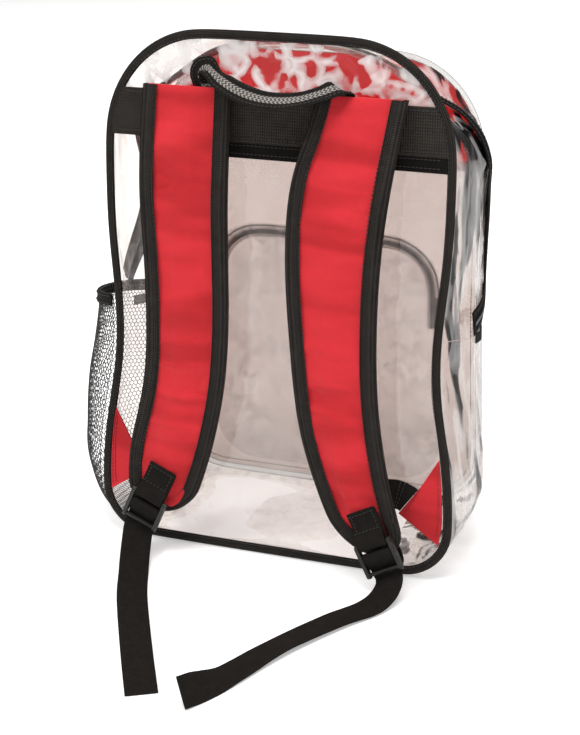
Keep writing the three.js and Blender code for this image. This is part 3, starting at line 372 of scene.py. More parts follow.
def metal_material():
    """Dark plated metal with fine scratches."""
    n = Nodes("dark_plate")
    scratch = n.noise(n.coords("Object", (1, 1, 12)), 260, 3, 0.7)
    n.put(n.shader.inputs["Base Color"], n.colours(scratch, (0.045, 0.043, 0.042), (0.16, 0.155, 0.15)))
    n.shader.inputs["Metallic"].default_value = 0.85
    n.put(n.shader.inputs["Roughness"], n.math("MULTIPLY_ADD", scratch, 0.3, 0.22))
    n.put(n.shader.inputs["Normal"], n.bump(scratch, 0.0001, 0.4))
    return n.material


def grey_film_material():
    """Thick clear trim that looks grey: part clear, part satin."""
    n = Nodes("grey_trim")
    cloud = n.noise(n.coords("Object"), 70, 4, 0.6)
    n.put(n.shader.inputs["Base Color"], n.colours(cloud, (0.2, 0.19, 0.185), (0.46, 0.44, 0.43)))
    n.shader.inputs["Roughness"].default_value = 0.28
    n.put(n.shader.inputs["Normal"], n.bump(cloud, 0.0006, 0.5))
    clear = n.node("ShaderNodeBsdfTransparent", Color=(0.86, 0.85, 0.84, 1))
    slant = n.node("ShaderNodeLayerWeight", Blend=0.5).outputs["Facing"]
    share = n.ramp(slant, (0, 0.15), (0.35, 0.25), (0.6, 0.95))
    mixed = n.node("ShaderNodeMixShader", _0=share, _1=clear.outputs[0], _2=n.shader.outputs[0])
    n.put(n.output.inputs["Surface"], mixed.outputs[0])
    return n.material


def net_material():
    n = Nodes("net_yarn")
    fuzz = n.noise(n.coords("Object"), 900, 3, 0.6)
    n.put(n.shader.inputs["Base Color"], n.colours(fuzz, (0.012, 0.011, 0.01), (0.075, 0.07, 0.066)))
    n.shader.inputs["Roughness"].default_value = 0.6
    n.put(n.shader.inputs["Normal"], n.bump(fuzz, 0.0001, 0.5))
    return n.material


BLACK_LOW, BLACK_HIGH = (0.004, 0.0035, 0.003), (0.04, 0.035, 0.031)
materials = {
    # Back film: painted glints, growing strong between 0.37 and 0.385 m up.
    "film_back": film_material(
        "film_back", (0.975, 0.96, 0.95), 0.015, rising(2, 0.37, 0.385, 0.08, 0.95), level(0), 0.15, 1),
    # Side film: painted glints and painted dark reflections, both stronger towards +X.
    "film_side": film_material(
        "film_side", (0.95, 0.935, 0.925), 0.015, rising(0, 0, 0.12, 0.08, 0.5), rising(0, 0.05, 0.13, 0.05, 1),
        0.35, 0.3),
    # Front film: its grey tint is painted shade for the darker inside and surroundings seen in it; faint painted
    # glints too.
    "film_front": film_material("film_front", (0.66, 0.6, 0.575), 0.03, level(0.05), level(0), 0.2, 1),
    # Pocket film: faint painted glints.
    "film_pocket": film_material("film_pocket", (0.95, 0.95, 0.955), 0.02, level(0.12), level(0), 0.2, 1),
    "pocket_tape": pocket_tape_material(),
    "red": red_material("red_weave", 0),
    "red_thin": red_material("red_thin", 0.55),
    "webbing_map": webbing_material("webbing_map", "UV", (0, 1), WEBBING_PITCH, BLACK_LOW, BLACK_HIGH),
    "webbing_flat": webbing_material(
        "webbing_flat", "Object", (0, 2), 0.0024, (0.001, 0.001, 0.001), (0.095, 0.083, 0.073)),
    "binding": webbing_material("binding", "UV", (0, 1), 0.0019, (0.002, 0.0018, 0.0016), (0.07, 0.062, 0.056)),
    "handle": webbing_material("handle", "UV", (0, 1), 0.0019, BLACK_LOW, BLACK_HIGH, 0.0044),
    "zip_tape": webbing_material("zip_tape", "UV", (0, 1), 0.0011, BLACK_LOW, (0.03, 0.027, 0.025)),
    "plastic": plastic_material("plastic", (0.004, 0.004, 0.004), (0.016, 0.015, 0.014), 0.34),
    "teeth": plastic_material("teeth", (0.012, 0.012, 0.012), (0.05, 0.048, 0.047), 0.28),
    "grey_thread": plastic_material("grey_thread", (0.22, 0.21, 0.2), (0.42, 0.4, 0.39), 0.5),
    "thread": plastic_material("thread", (0.012, 0.011, 0.01), (0.045, 0.042, 0.04), 0.5),
    "red_thread": plastic_material("red_thread", (0.3, 0.012, 0.018), (0.5, 0.03, 0.04), 0.5),
    "metal": metal_material(),
    "grey": grey_film_material(),
    "net": net_material(),
}


# Reading the CAD sheets

def merged(node):
    mesh = bmesh.new()
    mesh.from_mesh(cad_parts[node].data)
    bmesh.ops.remove_doubles(mesh, verts=mesh.verts, dist=MERGE)
    mesh.verts.ensure_lookup_table()
    mesh.faces.ensure_lookup_table()
    return mesh


def flat_patches(mesh, limit):
    """Groups of faces that meet at less than a limit."""
    seen, patches = set(), []
    for first in mesh.faces:
        if first.index in seen:
            continue
        seen.add(first.index)
        patch, waiting = [], [first]
        while waiting:
            face = waiting.pop()
            patch.append(face)
            for edge in face.edges:
                if len(edge.link_faces) == 2 and edge.calc_face_angle() < limit:
                    fresh = [other for other in edge.link_faces if other.index not in seen]
                    seen.update(other.index for other in fresh)
                    waiting.extend(fresh)
        patches.append(patch)
    return patches


def rings_from(mesh, patch, size):
    """Rings of a swept mesh, walked from one end, or None if the patch isn't an end."""
    near = {v.index: {e.other_vert(v).index for e in v.link_edges} for v in mesh.verts}
    rings = [{v.index for face in patch for v in face.verts}]
    seen = set(rings[0])
    while len(rings[-1]) == size:
        beyond = set().union(*(near[i] for i in rings[-1])) - seen
        if not beyond:
            break
        seen |= beyond
        rings.append(beyond)
    if len(seen) != len(mesh.verts) or any(len(ring) != size for ring in rings):
        return None
    inside = {face.index for face in patch}
    rim = {}
    for edge in {e for face in patch for e in face.edges}:
        if sum(face.index in inside for face in edge.link_faces) == 1:
            a, b = (v.index for v in edge.verts)
            rim.setdefault(a, []).append(b)
            rim.setdefault(b, []).append(a)
    loop = [next(iter(rim))]
    while len(loop) < size:
        onward = [i for i in rim[loop[-1]] if i not in loop[-2:]]
        if not onward:
            return None
        loop.append(onward[0])
    places = np.array([v.co for v in mesh.verts])
    ordered = [loop]
    for ring in rings[1:]:
        ordered.append(matched(ordered[-1], ring, near, places))
        if ordered[-1] is None:
            return None
    return places[np.array(ordered)]


def matched(order, ring, near, places):
    """The next ring's points in the same order as this ring's."""
    drift = places[list(ring)].mean(axis=0) - places[order].mean(axis=0)

    def miss(i, j):
        return float(np.linalg.norm(places[j] - places[i] - drift))

    best, least = None, math.inf
    for start in near[order[0]] & ring:
        found = [start]
        for i in order[1:]:
            options = (near[i] & ring & near[found[-1]]) - set(found)
            if not options:
                break
            found.append(min(options, key=lambda j, i=i: miss(i, j)))
        total = sum(miss(i, j) for i, j in zip(order, found))
        if len(found) == len(order) and total < least:
            best, least = found, total
    return best


def cad_sheet(node, columns):
    """A swept CAD sheet as rings x columns x 2 faces x 3."""
    mesh = merged(node)
    size = 2 * columns
    grids = []
    for limit in (5, 10, 20, 35):
        for patch in flat_patches(mesh, math.radians(limit)):
            rings = rings_from(mesh, patch, size) if len(patch) == size - 2 else None
            if rings is None:
                continue
            for shift in range(columns):
                turned = np.roll(rings, -shift, axis=1)
                grids.append(np.stack([turned[:, :columns], turned[:, columns:][:, ::-1]], axis=2))
    mesh.free()
    return min(grids, key=lambda grid: np.linalg.norm(grid[:, :, 0] - grid[:, :, 1], axis=-1).mean())


def resampled(grid, count, axis):
    """A grid with evenly spaced rows along one axis, on smooth curves through the old ones."""
    rows = np.moveaxis(grid, axis, 0)
    rest = tuple(range(1, rows.ndim - 1))
    step = np.linalg.norm(np.diff(rows, axis=0), axis=-1).mean(axis=rest)
    place = np.concatenate([[0], np.cumsum(step)])
    shape = (-1,) + (1,) * (rows.ndim - 1)
    secant = np.diff(rows, axis=0) / step.reshape(shape)
    share = (step[:-1] / (step[:-1] + step[1:])).reshape(shape)
    slope = np.concatenate([secant[:1], secant[:-1] * (1 - share) + secant[1:] * share, secant[-1:]])
    wanted = np.linspace(0, place[-1], count)
    i = np.clip(np.searchsorted(place, wanted, side="right") - 1, 0, len(step) - 1)
    span = step[i].reshape(shape)
    t = ((wanted - place[i]) / step[i]).reshape(shape)
    a, b = rows[i], rows[i + 1]
    bend = (slope[i] * span - (b - a)) * (1 - t) - (slope[i + 1] * span - (b - a)) * t
    return np.moveaxis(a + (b - a) * t + t * (1 - t) * bend, 0, axis)


def unit(vectors):
    return vectors / np.maximum(np.linalg.norm(vectors, axis=-1, keepdims=True), 1e-12)


def lift_of(grid):
    """Unit vectors from the second face of a sheet to its first."""
    return unit(grid[:, :, 0] - grid[:, :, 1])


def outward(grid, away):
    """The same sheet with its first face on the side that a direction names."""
    middle = lift_of(grid)[len(grid) // 2, grid.shape[1] // 2]
    return grid if middle @ np.array(away) > 0 else grid[:, :, ::-1]


# Building pieces

def new_piece(name, data, material, nodes=()):
    piece = bpy.data.objects.new(name, data)
    bpy.context.scene.collection.objects.link(piece)
    data.materials.clear()
    data.materials.append(materials[material])
    data.shade_smooth()
    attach(piece, "root")
    if nodes:
        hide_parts(*nodes)
    return piece


def set_map(data, values):
    """Gives each vertex its place on the surface, in metres."""
    layer = data.uv_layers.new(name="UVMap")
    corner = np.empty(len(data.loops), dtype=np.int32)
    data.loops.foreach_get("vertex_index", corner)
    layer.data.foreach_set("uv", values[corner].astype(np.float32).ravel())


def sheet_map(grid):
    """Across and along distances over a sheet, across measured from its middle."""
    middle = grid.mean(axis=2)
    along = np.concatenate([[0], np.cumsum(np.linalg.norm(np.diff(middle, axis=0), axis=-1).mean(axis=1))])
    across = np.linalg.norm(np.diff(middle, axis=1), axis=-1).mean(axis=0)
    across = np.concatenate([[0], np.cumsum(across)])
    across -= across[-1] / 2
    return np.stack(np.broadcast_arrays(across[None, :], along[:, None]), axis=-1)


def add_sheet(name, grid, material, nodes=()):
    """A closed sheet from a grid of two faces, with rounded shading and a map in metres."""
    rows, columns = grid.shape[:2]
    number = np.arange(rows * columns * 2).reshape(rows, columns, 2)
    top, low = number[:, :, 0], number[:, :, 1]

    def quads(a, b, c, d):
        return np.stack([x.ravel() for x in (a, b, c, d)], axis=1).tolist()

    faces = quads(top[:-1, :-1], top[:-1, 1:], top[1:, 1:], top[1:, :-1])
    faces += quads(low[:-1, :-1], low[1:, :-1], low[1:, 1:], low[:-1, 1:])
    faces += quads(top[:-1, 0], top[1:, 0], low[1:, 0], low[:-1, 0])
    faces += quads(top[1:, -1], top[:-1, -1], low[:-1, -1], low[1:, -1])
    faces += quads(top[0, 1:], top[0, :-1], low[0, :-1], low[0, 1:])
    faces += quads(top[-1, :-1], top[-1, 1:], low[-1, 1:], low[-1, :-1])
    data = bpy.data.meshes.new(name)
    data.from_pydata(grid.reshape(-1, 3).tolist(), [], faces)
    turn_out(data)
    places = np.repeat(sheet_map(grid)[:, :, None], 2, axis=2).reshape(-1, 2)
    set_map(data, places)
    piece = new_piece(name, data, material, nodes)
    data.set_sharp_from_angle(angle=math.radians(55))
    return piece


def turn_out(data):
    mesh = bmesh.new()
    mesh.from_mesh(data)
    bmesh.ops.recalc_face_normals(mesh, faces=mesh.faces)
    mesh.to_mesh(data)
    mesh.free()


def ripple(points, scale, seed, stretch=(1, 1, 1)):
    """Soft noise from -1 to 1 at points, with features about a scale in metres wide."""
    spots = points.reshape(-1, 3) / (scale * np.array(stretch)) + seed
    return np.array([noise.noise(spot) for spot in spots.tolist()]).reshape(points.shape[:-1])


def ridges(points, scale, seed, stretch=(1, 1, 1), sharpness=5):
    """Thin fold lines, from 0 to 1, where a noise crosses its middle."""
    return np.maximum(1 - np.abs(ripple(points, scale, seed, stretch)) * sharpness, 0) ** 2


def raised(grid, height):
    """Both faces of a sheet moved off along its lift by a height at each place."""
    return grid + (lift_of(grid) * height[..., None])[:, :, None]


def edge_fade(grid, reach):
    """0 at the borders of a sheet and 1 further in than a reach in metres."""
    places = sheet_map(grid)
    across, along = np.abs(places[..., 0]), places[..., 1]
    side = across.max() - across
    end = np.minimum(along, along.max() - along)
    return np.clip(np.minimum(side, end) / reach, 0, 1) ** 0.7


def finer(grid, rows, columns):
    return resampled(resampled(grid, rows, 0), columns, 1)


def smooth_copy(node, levels, crease):
    """A CAD node's mesh, rounded: edges sharper than the crease angle stay."""
    mesh = merged(node)
    bmesh.ops.join_triangles(
        mesh, faces=mesh.faces, angle_face_threshold=math.pi, angle_shape_threshold=math.pi
    )
    layer = mesh.edges.layers.float.new("crease_edge")
    for edge in mesh.edges:
        if edge.calc_face_angle(0) > crease:
            edge[layer] = 1
    data = bpy.data.meshes.new(node)
    mesh.to_mesh(data)
    mesh.free()
    holder = bpy.data.objects.new(node + ".carrier", data)
    bpy.context.scene.collection.objects.link(holder)
    rounder = holder.modifiers.new("rounder", "SUBSURF")
    rounder.levels = rounder.render_levels = levels
    graph = bpy.context.evaluated_depsgraph_get()
    rounded = bpy.data.meshes.new_from_object(holder.evaluated_get(graph))
    bpy.data.objects.remove(holder)
    while rounded.uv_layers:
        rounded.uv_layers.remove(rounded.uv_layers[0])
    if "custom_normal" in rounded.attributes:
        rounded.attributes.remove(rounded.attributes["custom_normal"])
    return rounded


def map_along(data, line, across_scale=1.0):
    """Maps a mesh by the nearest place on a line: across it and along it."""
    spots = np.empty(len(data.vertices) * 3)
    data.vertices.foreach_get("co", spots)
    spots = spots.reshape(-1, 3)
    along = np.concatenate([[0], np.cumsum(np.linalg.norm(np.diff(line, axis=0), axis=-1))])
    far = np.linalg.norm(spots[:, None] - line[None], axis=-1)
    nearest = far.argmin(axis=1)
    offset = far[np.arange(len(spots)), nearest] * across_scale
    tangent = unit(np.gradient(line, axis=0))[nearest]
    slide = ((spots - line[nearest]) * tangent).sum(axis=1)
    set_map(data, np.stack([offset, along[nearest] + slide], axis=1))


def add_strokes(name, lines, material, pitch=STITCH_PITCH, length=STITCH_LENGTH, width=STITCH_WIDTH):
    """Sewn stitches: short rounded strokes along lines, each line a pair of points and outward lifts."""
    corners, faces = [], []
    section = [(0, 1), (0.87, -0.5), (-0.87, -0.5)]
    for points, lifts in lines:
        run = np.concatenate([[0], np.cumsum(np.linalg.norm(np.diff(points, axis=0), axis=-1))])
        for start in np.arange(pitch / 2, run[-1] - length, pitch):
            stops = start + length * np.array([0, 0.25, 0.75, 1])
            at = np.stack([np.interp(stops, run, points[:, k]) for k in range(3)], axis=1)
            out = unit(np.array([np.interp(start, run, lifts[:, k]) for k in range(3)]))
            side = unit(np.cross(at[3] - at[0], out))
            first = len(corners)
            for spot, size, rise in zip(at, (0.35, 1, 1, 0.35), (0.1, 0.6, 0.6, 0.1)):
                for x, y in section:
                    corners.append(spot + (side * x * size + out * (y * size + rise)) * width)
            for ring in range(3):
                for k in range(3):
                    a, b = first + 3 * ring + k, first + 3 * ring + (k + 1) % 3
                    faces.append((a, b, b + 3, a + 3))
            faces.append((first + 2, first + 1, first))
            faces.append((first + 9, first + 10, first + 11))
    data = bpy.data.meshes.new(name)
    data.from_pydata([tuple(c) for c in corners], [], faces)
    turn_out(data)
    return new_piece(name, data, material)


# Planes of the bag

def plane_of(y, lean, facing):
    up = np.array([0, math.sin(lean), math.cos(lean)])
    out = np.array([0, facing * math.cos(lean), -facing * math.sin(lean)])
    return np.array([0, y, 0]), up, out


BACK = plane_of(-BASE_DEPTH / 2, BACK_LEAN, -1)
FRONT = plane_of(BASE_DEPTH / 2, FRONT_LEAN, 1)


def rim_loop(grid):
    """The border of a panel's middle surface, as one closed line."""
    middle = grid.mean(axis=2)
    loop = np.concatenate([middle[:, -1], middle[::-1, 0], middle[:1, -1]])
    return loop


def evened(line, step):
    """The same line with points at even steps."""
    run = np.concatenate([[0], np.cumsum(np.linalg.norm(np.diff(line, axis=0), axis=-1))])
    stops = np.linspace(0, run[-1], max(int(run[-1] / step), 2))
    return np.stack([np.interp(stops, run, line[:, k]) for k in range(3)], axis=1)


def moved(line, out, sideways, lift):
    """A line moved sideways in its plane and off it. Positive goes to the left of its run, seen from outside."""
    tangent = unit(np.gradient(line, axis=0))
    left = unit(np.cross(out, tangent))
    return line + left * sideways + out * lift


def lifts_for(line, out):
    return np.repeat(out[None], len(line), axis=0)


# Clear film

def make_panels():
    back = outward(finer(cad_sheet("back_panel", 3), 120, 86), BACK[2])
    dents = ripple(back.mean(axis=2), 0.09, 3.1, (1, 1, 1.6)) * 0.0022
    dents += ripple(back.mean(axis=2), 0.03, 8.2, (1.6, 1, 1)) * 0.0006
    dents += ridges(back.mean(axis=2), 0.11, 5.7, (1, 1, 1.3), 9) * 0.0007
    back = raised(back, (dents - 0.0012) * edge_fade(back, 0.03))
    add_sheet("clear_back", back, "film_back", ["back_panel"])

    front = outward(finer(cad_sheet("front_panel", 3), 84, 78), FRONT[2])
    dents = ripple(front.mean(axis=2), 0.08, 11.3) * 0.0016
    front = raised(front, (dents - 0.0016) * edge_fade(front, 0.03))
    add_sheet("clear_front", front, "film_front", ["front_panel"])

    yoke = outward(finer(cad_sheet("front_yoke", 3), 40, 84), FRONT[2])
    soft = ripple(yoke.mean(axis=2), 0.04, 21.7, (1, 1, 0.6)) * 0.0009
    yoke = raised(yoke, soft * edge_fade(yoke, 0.02))
    add_sheet("red_yoke", yoke, "red_thin", ["front_yoke"])
    return back, front, yoke


def make_gussets():
    for node, columns, rows, across, strength in (
        ("gusset_lower", 9, 200, 40, 0.8),
        ("gusset_rear", 4, 230, 26, 1.0),
        ("gusset_front", 4, 230, 22, 0.8),
    ):
        grid = finer(cad_sheet(node, columns), rows, across)
        middle = grid.mean(axis=2)
        grid = outward(grid, (0, 0, -1) if node == "gusset_lower" else (0, 0, 1))
        high = np.clip((middle[..., 2] - 0.012) / 0.05, 0, 1)
        dents = ripple(middle, 0.05, 2.3, (1, 1, 2.2)) * 0.0028
        dents += ridges(middle, 0.045, 4.4, (1, 1, 2.8), 6) * 0.0024
        dents += ridges(middle, 0.022, 6.1, (1, 1, 2.2), 5) * 0.0009
        grid = raised(grid, (dents - 0.0026) * strength * high * edge_fade(grid, 0.012))
        add_sheet("clear_" + node, grid, "film_side", [node])


def make_front_pocket():
    grid = outward(finer(cad_sheet("front_pocket", 7), 70, 70), FRONT[2])
    middle = grid.mean(axis=2)
    dents = ripple(middle, 0.06, 14.2) * 0.0016 + ridges(middle, 0.07, 9.9, (1, 1, 1), 8) * 0.0007
    grid = raised(grid, (dents - 0.0006) * edge_fade(grid, 0.02))
    add_sheet("clear_pocket", grid, "film_pocket", ["front_pocket"])
    return grid


# Zips

def add_teeth(name, grid, left, right):
    """Interlocking teeth along the ridge between two columns of a zip."""
    ridge = grid[:, [left, right], 0]
    line = evened(ridge.mean(axis=1), 0.001)
    coarse = ridge.mean(axis=1)
    run = np.concatenate([[0], np.cumsum(np.linalg.norm(np.diff(coarse, axis=0), axis=-1))])
    side = unit(ridge[:, 1] - ridge[:, 0])
    lift = lift_of(grid)[:, (left + right) // 2]
    stops = np.arange(ZIP_PITCH, run[-1] - ZIP_PITCH, ZIP_PITCH / 2)
    corners, faces = [], []
    block = [(0, 1, 3, 2), (4, 6, 7, 5), (0, 4, 5, 1), (2, 3, 7, 6), (0, 2, 6, 4), (1, 5, 7, 3)]
    for count, stop in enumerate(stops):
        at, across, up = (
            np.array([np.interp(stop, run, values[:, k]) for k in range(3)])
            for values in (coarse, side, lift)
        )
        along = unit(np.cross(across, up))
        offset = across * (0.0007 if count % 2 else -0.0007)
        first = len(corners)
        for x in (-0.0011, 0.0011):
            for y in (-0.00042, 0.00042):
                for z in (-0.0004, 0.0006):
                    corners.append(at + offset + across * x + along * y + up * z)
        faces.extend(tuple(first + i for i in face) for face in block)
    data = bpy.data.meshes.new(name)
    data.from_pydata([tuple(c) for c in corners], [], faces)
    turn_out(data)
    teeth = new_piece(name, data, "teeth")
    data.set_sharp_from_angle(angle=math.radians(30))
    return line, teeth


def make_zips():
    grid = resampled(cad_sheet("main_zip", 6), 260, 0)
    grid = outward(grid, (0, 0, 1))
    grid[:, 2:4, 0] -= lift_of(grid)[:, 2:4] * 0.0007
    add_sheet("zip_tape", grid, "zip_tape", ["main_zip"])
    add_teeth("zip_teeth", grid, 2, 3)
    rows = [edge_line(grid, share, 0.0001) for share in (0.12, 0.88)]
    add_strokes("zip_stitches", rows, "thread")

    pocket = resampled(cad_sheet("front_pocket_zip", 6), 140, 0)
    pocket = outward(pocket, FRONT[2])
    pocket[:, 2:4, 0] -= lift_of(pocket)[:, 2:4] * 0.0006
    add_sheet("pocket_zip_tape", pocket, "pocket_tape", ["front_pocket_zip"])
    add_teeth("pocket_zip_teeth", pocket, 2, 3)
    rows = [edge_line(pocket, share, 0.0001) for share in (0.1, 0.9)]
    add_strokes("pocket_zip_stitches", rows, "grey_thread")


def edge_line(grid, share, lift):
    """A line along a sheet at a share of its width, on its first face."""
    face = grid[:, :, 0]
    width = np.linalg.norm(np.diff(face, axis=1), axis=-1)
    run = np.concatenate([np.zeros((len(face), 1)), np.cumsum(width, axis=1)], axis=1)
    wanted = run[:, -1] * share
    points = np.array([
        [np.interp(wanted[r], run[r], face[r, :, k]) for k in range(3)] for r in range(len(face))
    ])
    lifts = lift_of(grid)[:, int(round(share * (grid.shape[1] - 1)))]
    return points + lifts * lift, lifts


def cross_line(grid, row, lift, start=0.08, end=0.92):
    """A line across a sheet at one of its rows, on its first face."""
    face = grid[row, :, 0]
    line = evened(np.array([
        face[0] + (face[-1] - face[0]) * start,
        face[0] + (face[-1] - face[0]) * end,
    ]), 0.002) if grid.shape[1] == 2 else face[int(start * grid.shape[1]):int(end * grid.shape[1]) + 1]
    lifts = lifts_for(line, lift_of(grid)[row, grid.shape[1] // 2])
    return line + lifts * lift, lifts


# Bindings round the panels

def make_rims(back, front):
    loop = evened(rim_loop(back), 0.002)
    data = smooth_copy("back_binding", 2, math.radians(100))
    map_along(data, loop)
    new_piece("black_binding", data, "binding", ["back_binding"])
    inner = moved(loop, BACK[2], sign_out(loop, BACK[2]) * 0.0014, 0.0018)
    add_strokes("binding_stitches", [(inner, lifts_for(inner, BACK[2]))], "thread")

    data = smooth_copy("front_piping", 2, math.radians(100))
    new_piece("clear_piping", data, "grey", ["front_piping"])
    low = rim_loop(front)
    seam = evened(low, 0.002)
    inner = moved(seam, FRONT[2], -sign_out(seam, FRONT[2]) * 0.004, 0.0008)
    low_part = inner[inner[:, 2] < front[..., 2].max() - 0.02]
    add_strokes("front_stitches", [(low_part, lifts_for(low_part, FRONT[2]))], "grey_thread")


def sign_out(loop, out):
    """Which way is outwards for a closed line: 1 if that is to the left of its run."""
    centre = loop.mean(axis=0)
    left = np.cross(out, unit(np.gradient(loop, axis=0)))
    return 1 if ((loop - centre) * left).sum() > 0 else -1


# Webbing across the back

def make_bands():
    band = outward(stretched(finer(cad_sheet("yoke_band", 2), 24, 90), 0.0002, 0.0016), BACK[2])
    soft = ripple(band.mean(axis=2), 0.05, 31.4, (1, 1, 0.5)) * 0.0004
    band = raised(band, soft * edge_fade(band, 0.01))
    add_sheet("black_band", band, "webbing_flat", ["yoke_band"])
    tape = outward(stretched(finer(cad_sheet("yoke_tape", 2), 8, 60), 0.0002, 0.0016), BACK[2])
    add_sheet("smooth_tape", tape, "zip_tape", ["yoke_tape"])
    rows = []
    for grid, places in ((band, (2, 21)), (tape, (2, 6))):
        for row in places:
            line = grid[row, 1:-1, 0]
            rows.append((line + BACK[2] * 0.0001, lifts_for(line, BACK[2])))
    add_strokes("band_stitches", rows, "thread")


def stretched(grid, along, across):
    """A sheet whose first and last rows and columns reach a little further."""
    grid = grid.copy()
    grid[0] -= unit(grid[1] - grid[0]) * along
    grid[-1] += unit(grid[-1] - grid[-2]) * along
    grid[:, 0] -= unit(grid[:, 1] - grid[:, 0]) * across
    grid[:, -1] += unit(grid[:, -1] - grid[:, -2]) * across
    return grid


def ribbon(node, rows, columns, thin=0.35):
    """A webbing ribbon from its CAD solid, thinner towards its woven edges."""
    grid = finer(cad_sheet(node, 2), rows, columns)
    share = np.abs(np.linspace(-1, 1, columns)) ** 8 * thin
    middle = grid.mean(axis=2, keepdims=True)
    return middle + (grid - middle) * (1 - share)[None, :, None, None]


def make_handle():
    grid = ribbon("haul_handle", 150, 13)
    grid = raised(grid, ripple(grid.mean(axis=2), 0.02, 7.7) * 0.0005)
    grid = tipped(grid, HANDLE_TIP)
    add_sheet("woven_handle", grid, "handle", ["haul_handle"])
    rows = [edge_line(grid, share, 0.0001) for share in (0.1, 0.9)]
    add_strokes("handle_stitches", rows, "thread")


def tipped(grid, angle):
    """A ribbon turned about its own line, most in the middle of its run, so that its face shows."""
    share = np.sin(np.linspace(0, math.pi, len(grid))) ** 0.6
    middle = grid.mean(axis=(1, 2), keepdims=True)
    along = unit(np.gradient(middle, axis=0))
    turn = (angle * share)[:, None, None, None]
    arm = grid - middle
    return middle + arm * np.cos(turn) + np.cross(along, arm) * np.sin(turn)


# Shoulder straps

def make_strap(side, seed):
    pad = finer(outward(cad_sheet("strap_pad_" + side, 9), BACK[2]), 190, 40)
    core = pad.mean(axis=(1, 2), keepdims=True)
    pad = core + (pad - core) * PAD_TUCK
    middle = pad.mean(axis=2)
    places = sheet_map(pad)
    fade = edge_fade(pad, 0.02)
    puckers = ripple(middle, 0.04, seed, (2.4, 1, 0.6)) * 0.0042
    puckers += ripple(middle, 0.018, seed + 5, (2.2, 1, 0.5)) * 0.0011
    low = np.clip(1 - np.abs(middle[..., 2] - 0.14) / 0.09, 0, 1)
    puckers += ridges(middle, 0.06, seed + 9, (1.6, 1, 0.5), 6) * 0.0022 * low
    swell = fade[:, :, None, None] * puckers[:, :, None, None]
    lift = lift_of(pad)[:, :, None] * np.array([1, -1])[None, None, :, None]
    pad = pad + lift * swell
    piece = add_sheet("padded_strap_" + side, pad, "red", ["strap_pad_" + side])

    edge = np.concatenate([middle[::-1, 0], middle[0, 1:-1], middle[:, -1]])
    edge = evened(edge, 0.002)
    data = smooth_copy("strap_binding_" + side, 2, math.radians(65))
    map_along(data, edge)
    name = "folded_binding_" + side
    new_piece(name, data, "binding", ["strap_binding_" + side])
    inwards = -1 if (moved(edge, BACK[2], 0.005, 0) - edge.mean(axis=0) > 0).any() else 1
    inset = min((-1, 1), key=lambda way: spread(moved(edge, BACK[2], way * 0.0085, 0)))
    inner = moved(edge, BACK[2], inset * 0.0085, 0)
    top = inner + BACK[2] * 0.00315
    under = inner - BACK[2] * 0.00315
    rows = [(top, lifts_for(top, BACK[2])), (under, lifts_for(under, -BACK[2]))]
    add_strokes("strap_stitches_" + side, rows, "thread")
    return places, inwards


def spread(line):
    """How long a line is, to tell its inner from its outer side."""
    return np.linalg.norm(np.diff(line, axis=0), axis=-1).sum()


def make_strap_ends(side):
    tab = outward_end(ribbon("strap_tab_" + side, 90, 9), BACK[2])
    add_sheet("buckle_loop_" + side, tab, "webbing_map", ["strap_tab_" + side])
    rows = []
    for share in (0.12, 0.88):
        points, lifts = edge_line(tab, share, 0.0001)
        rows.append((points[3:26], lifts[3:26]))
    for row in (4, 24):
        rows.append(cross_line(tab, row, 0.0001))
    add_strokes("loop_stitches_" + side, rows, "thread")

    tail = ribbon("strap_tail_" + side, 420, 11)
    add_sheet("loose_webbing_" + side, tail, "webbing_map", ["strap_tail_" + side])
    hem = [cross_line(tail, row, 0.0001) for row in (-14, -11)]
    add_strokes("hem_stitches_" + side, hem, "thread")

    corner = outward(finer(cad_sheet("corner_tab_" + side, 3), 30, 26), BACK[2])
    soft = ripple(corner.mean(axis=2), 0.02, 17.5) * 0.0005
    corner = raised(corner, soft * edge_fade(corner, 0.006))
    add_sheet("red_corner_" + side, corner, "red", ["corner_tab_" + side])
    rows = []
    for column in (1, 3, -3):
        line = corner[1:-1, column, 0]
        rows.append((line + BACK[2] * 0.0001, lifts_for(line, BACK[2])))
    add_strokes("corner_stitches_" + side, rows, "red_thread")


def outward_end(grid, away):
    """The same sheet with its first face, at its first end, on the side that a direction names."""
    return grid if lift_of(grid)[4, 4] @ away > 0 else grid[:, :, ::-1]


# Net pocket

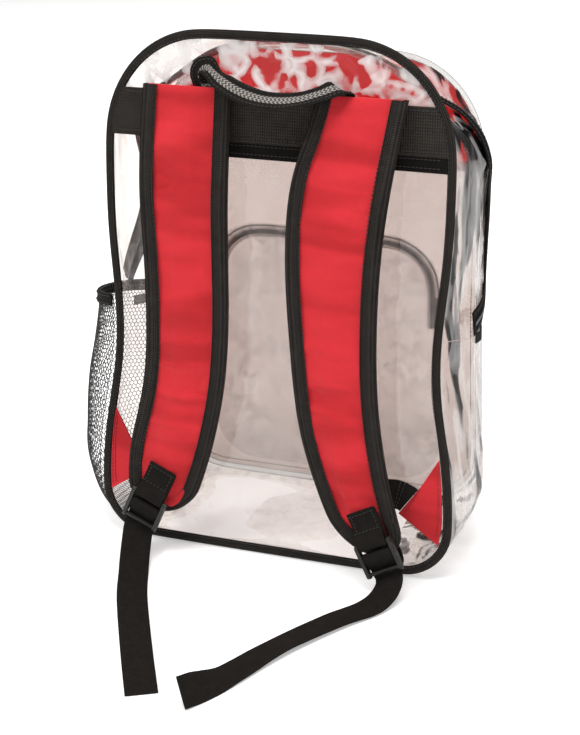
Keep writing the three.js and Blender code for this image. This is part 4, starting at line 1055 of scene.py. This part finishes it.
def make_net():
    grid = finer(cad_sheet("mesh_pocket", 9), 120, 120)
    surface = grid.mean(axis=2)
    lift = lift_of(grid)
    height = spread(surface[:, 60])
    width = max(spread(surface[row]) for row in (40, 80, 110))
    step = NET_CELL
    rise = step * 0.5
    corners, faces = [], []

    def spot(x, y):
        """The place and lift of the net at across and along lengths."""
        row = min(max(y / height, 0), 1) * 119
        column = min(max(x / width, 0), 1) * 119
        i, j = min(int(row), 118), min(int(column), 118)
        a, b = row - i, column - j
        weights = ((1 - a) * (1 - b), (1 - a) * b, a * (1 - b), a * b)
        cells = ((i, j), (i, j + 1), (i + 1, j), (i + 1, j + 1))
        at = sum(w * surface[c] for w, c in zip(weights, cells))
        out = sum(w * lift[c] for w, c in zip(weights, cells))
        return at, unit(out)

    def strand(start, end):
        (a, up), (b, _) = spot(*start), spot(*end)
        if np.linalg.norm(b - a) < NET_STRAND:
            return
        along = unit(b - a)
        side = unit(np.cross(along, up))
        over = unit(np.cross(side, along))
        first = len(corners)
        for place in (a - along * NET_STRAND * 0.3, b + along * NET_STRAND * 0.3):
            for x, y in ((0, 0.55), (0.55, -0.35), (-0.55, -0.35)):
                corners.append(place + (side * x + over * y) * NET_STRAND)
        for k in range(3):
            after = (k + 1) % 3
            faces.append((first + k, first + after, first + 3 + after, first + 3 + k))
        faces.append((first + 2, first + 1, first))
        faces.append((first + 3, first + 4, first + 5))

    row, y = 0, 0.0
    pitch = rise * 2.1
    while y < height:
        shift = step / 2 if row % 2 else 0
        x = shift
        while x < width:
            peak = y + rise
            strand((x, y), (x + step / 2, peak))
            strand((x + step / 2, peak), (x + step, y))
            strand((x + step / 2, peak), (x + step / 2, y + pitch))
            x += step
        row += 1
        y += pitch
    data = bpy.data.meshes.new("net_pocket")
    data.from_pydata([tuple(c) for c in corners], [], faces)
    new_piece("net_pocket", data, "net", ["mesh_pocket"])

    band = finer(cad_sheet("mesh_pocket_band", 9), 12, 80)
    band = outward(band, (-1, 0, 0))
    add_sheet("elastic_band", band, "webbing_map", ["mesh_pocket_band"])
    rows = []
    for row in (2, 9):
        line = band[row, 1:-1, 0]
        lifts = lift_of(band)[row, 1:-1]
        rows.append((line + lifts * 0.0001, lifts))
    add_strokes("elastic_stitches", rows, "thread")


def make_side_tapes():
    for side, away in (("left", (-1, 0, 0)), ("right", (1, 0, 0))):
        grid = outward(finer(cad_sheet("side_seam_tape_" + side, 6), 8, 40), away)
        add_sheet("seam_tape_" + side, grid, "zip_tape", ["side_seam_tape_" + side])


# Hardware that keeps its CAD shape

def make_hardware():
    for node, material in (
        ("buckle_left", "plastic"),
        ("buckle_right", "plastic"),
        ("main_zip_slider", "metal"),
        ("front_pocket_slider", "metal"),
        ("main_zip_pull", "plastic"),
        ("front_pocket_pull", "plastic"),
    ):
        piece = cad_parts[node]
        for place in piece.material_slots:
            place.material = materials[material]
        rounder = piece.modifiers.new("rounded_edges", "BEVEL")
        rounder.width = 0.0005
        rounder.segments = 2
        rounder.limit_method = "ANGLE"
        rounder.angle_limit = math.radians(40)


make_camera()
make_floor()
make_lights()
back_grid, front_grid, yoke_grid = make_panels()
make_gussets()
make_front_pocket()
make_zips()
make_rims(back_grid, front_grid)
make_bands()
make_handle()
for strap_side, strap_seed in (("left", 41.3), ("right", 57.9)):
    make_strap(strap_side, strap_seed)
    make_strap_ends(strap_side)
make_net()
make_side_tapes()
make_hardware()
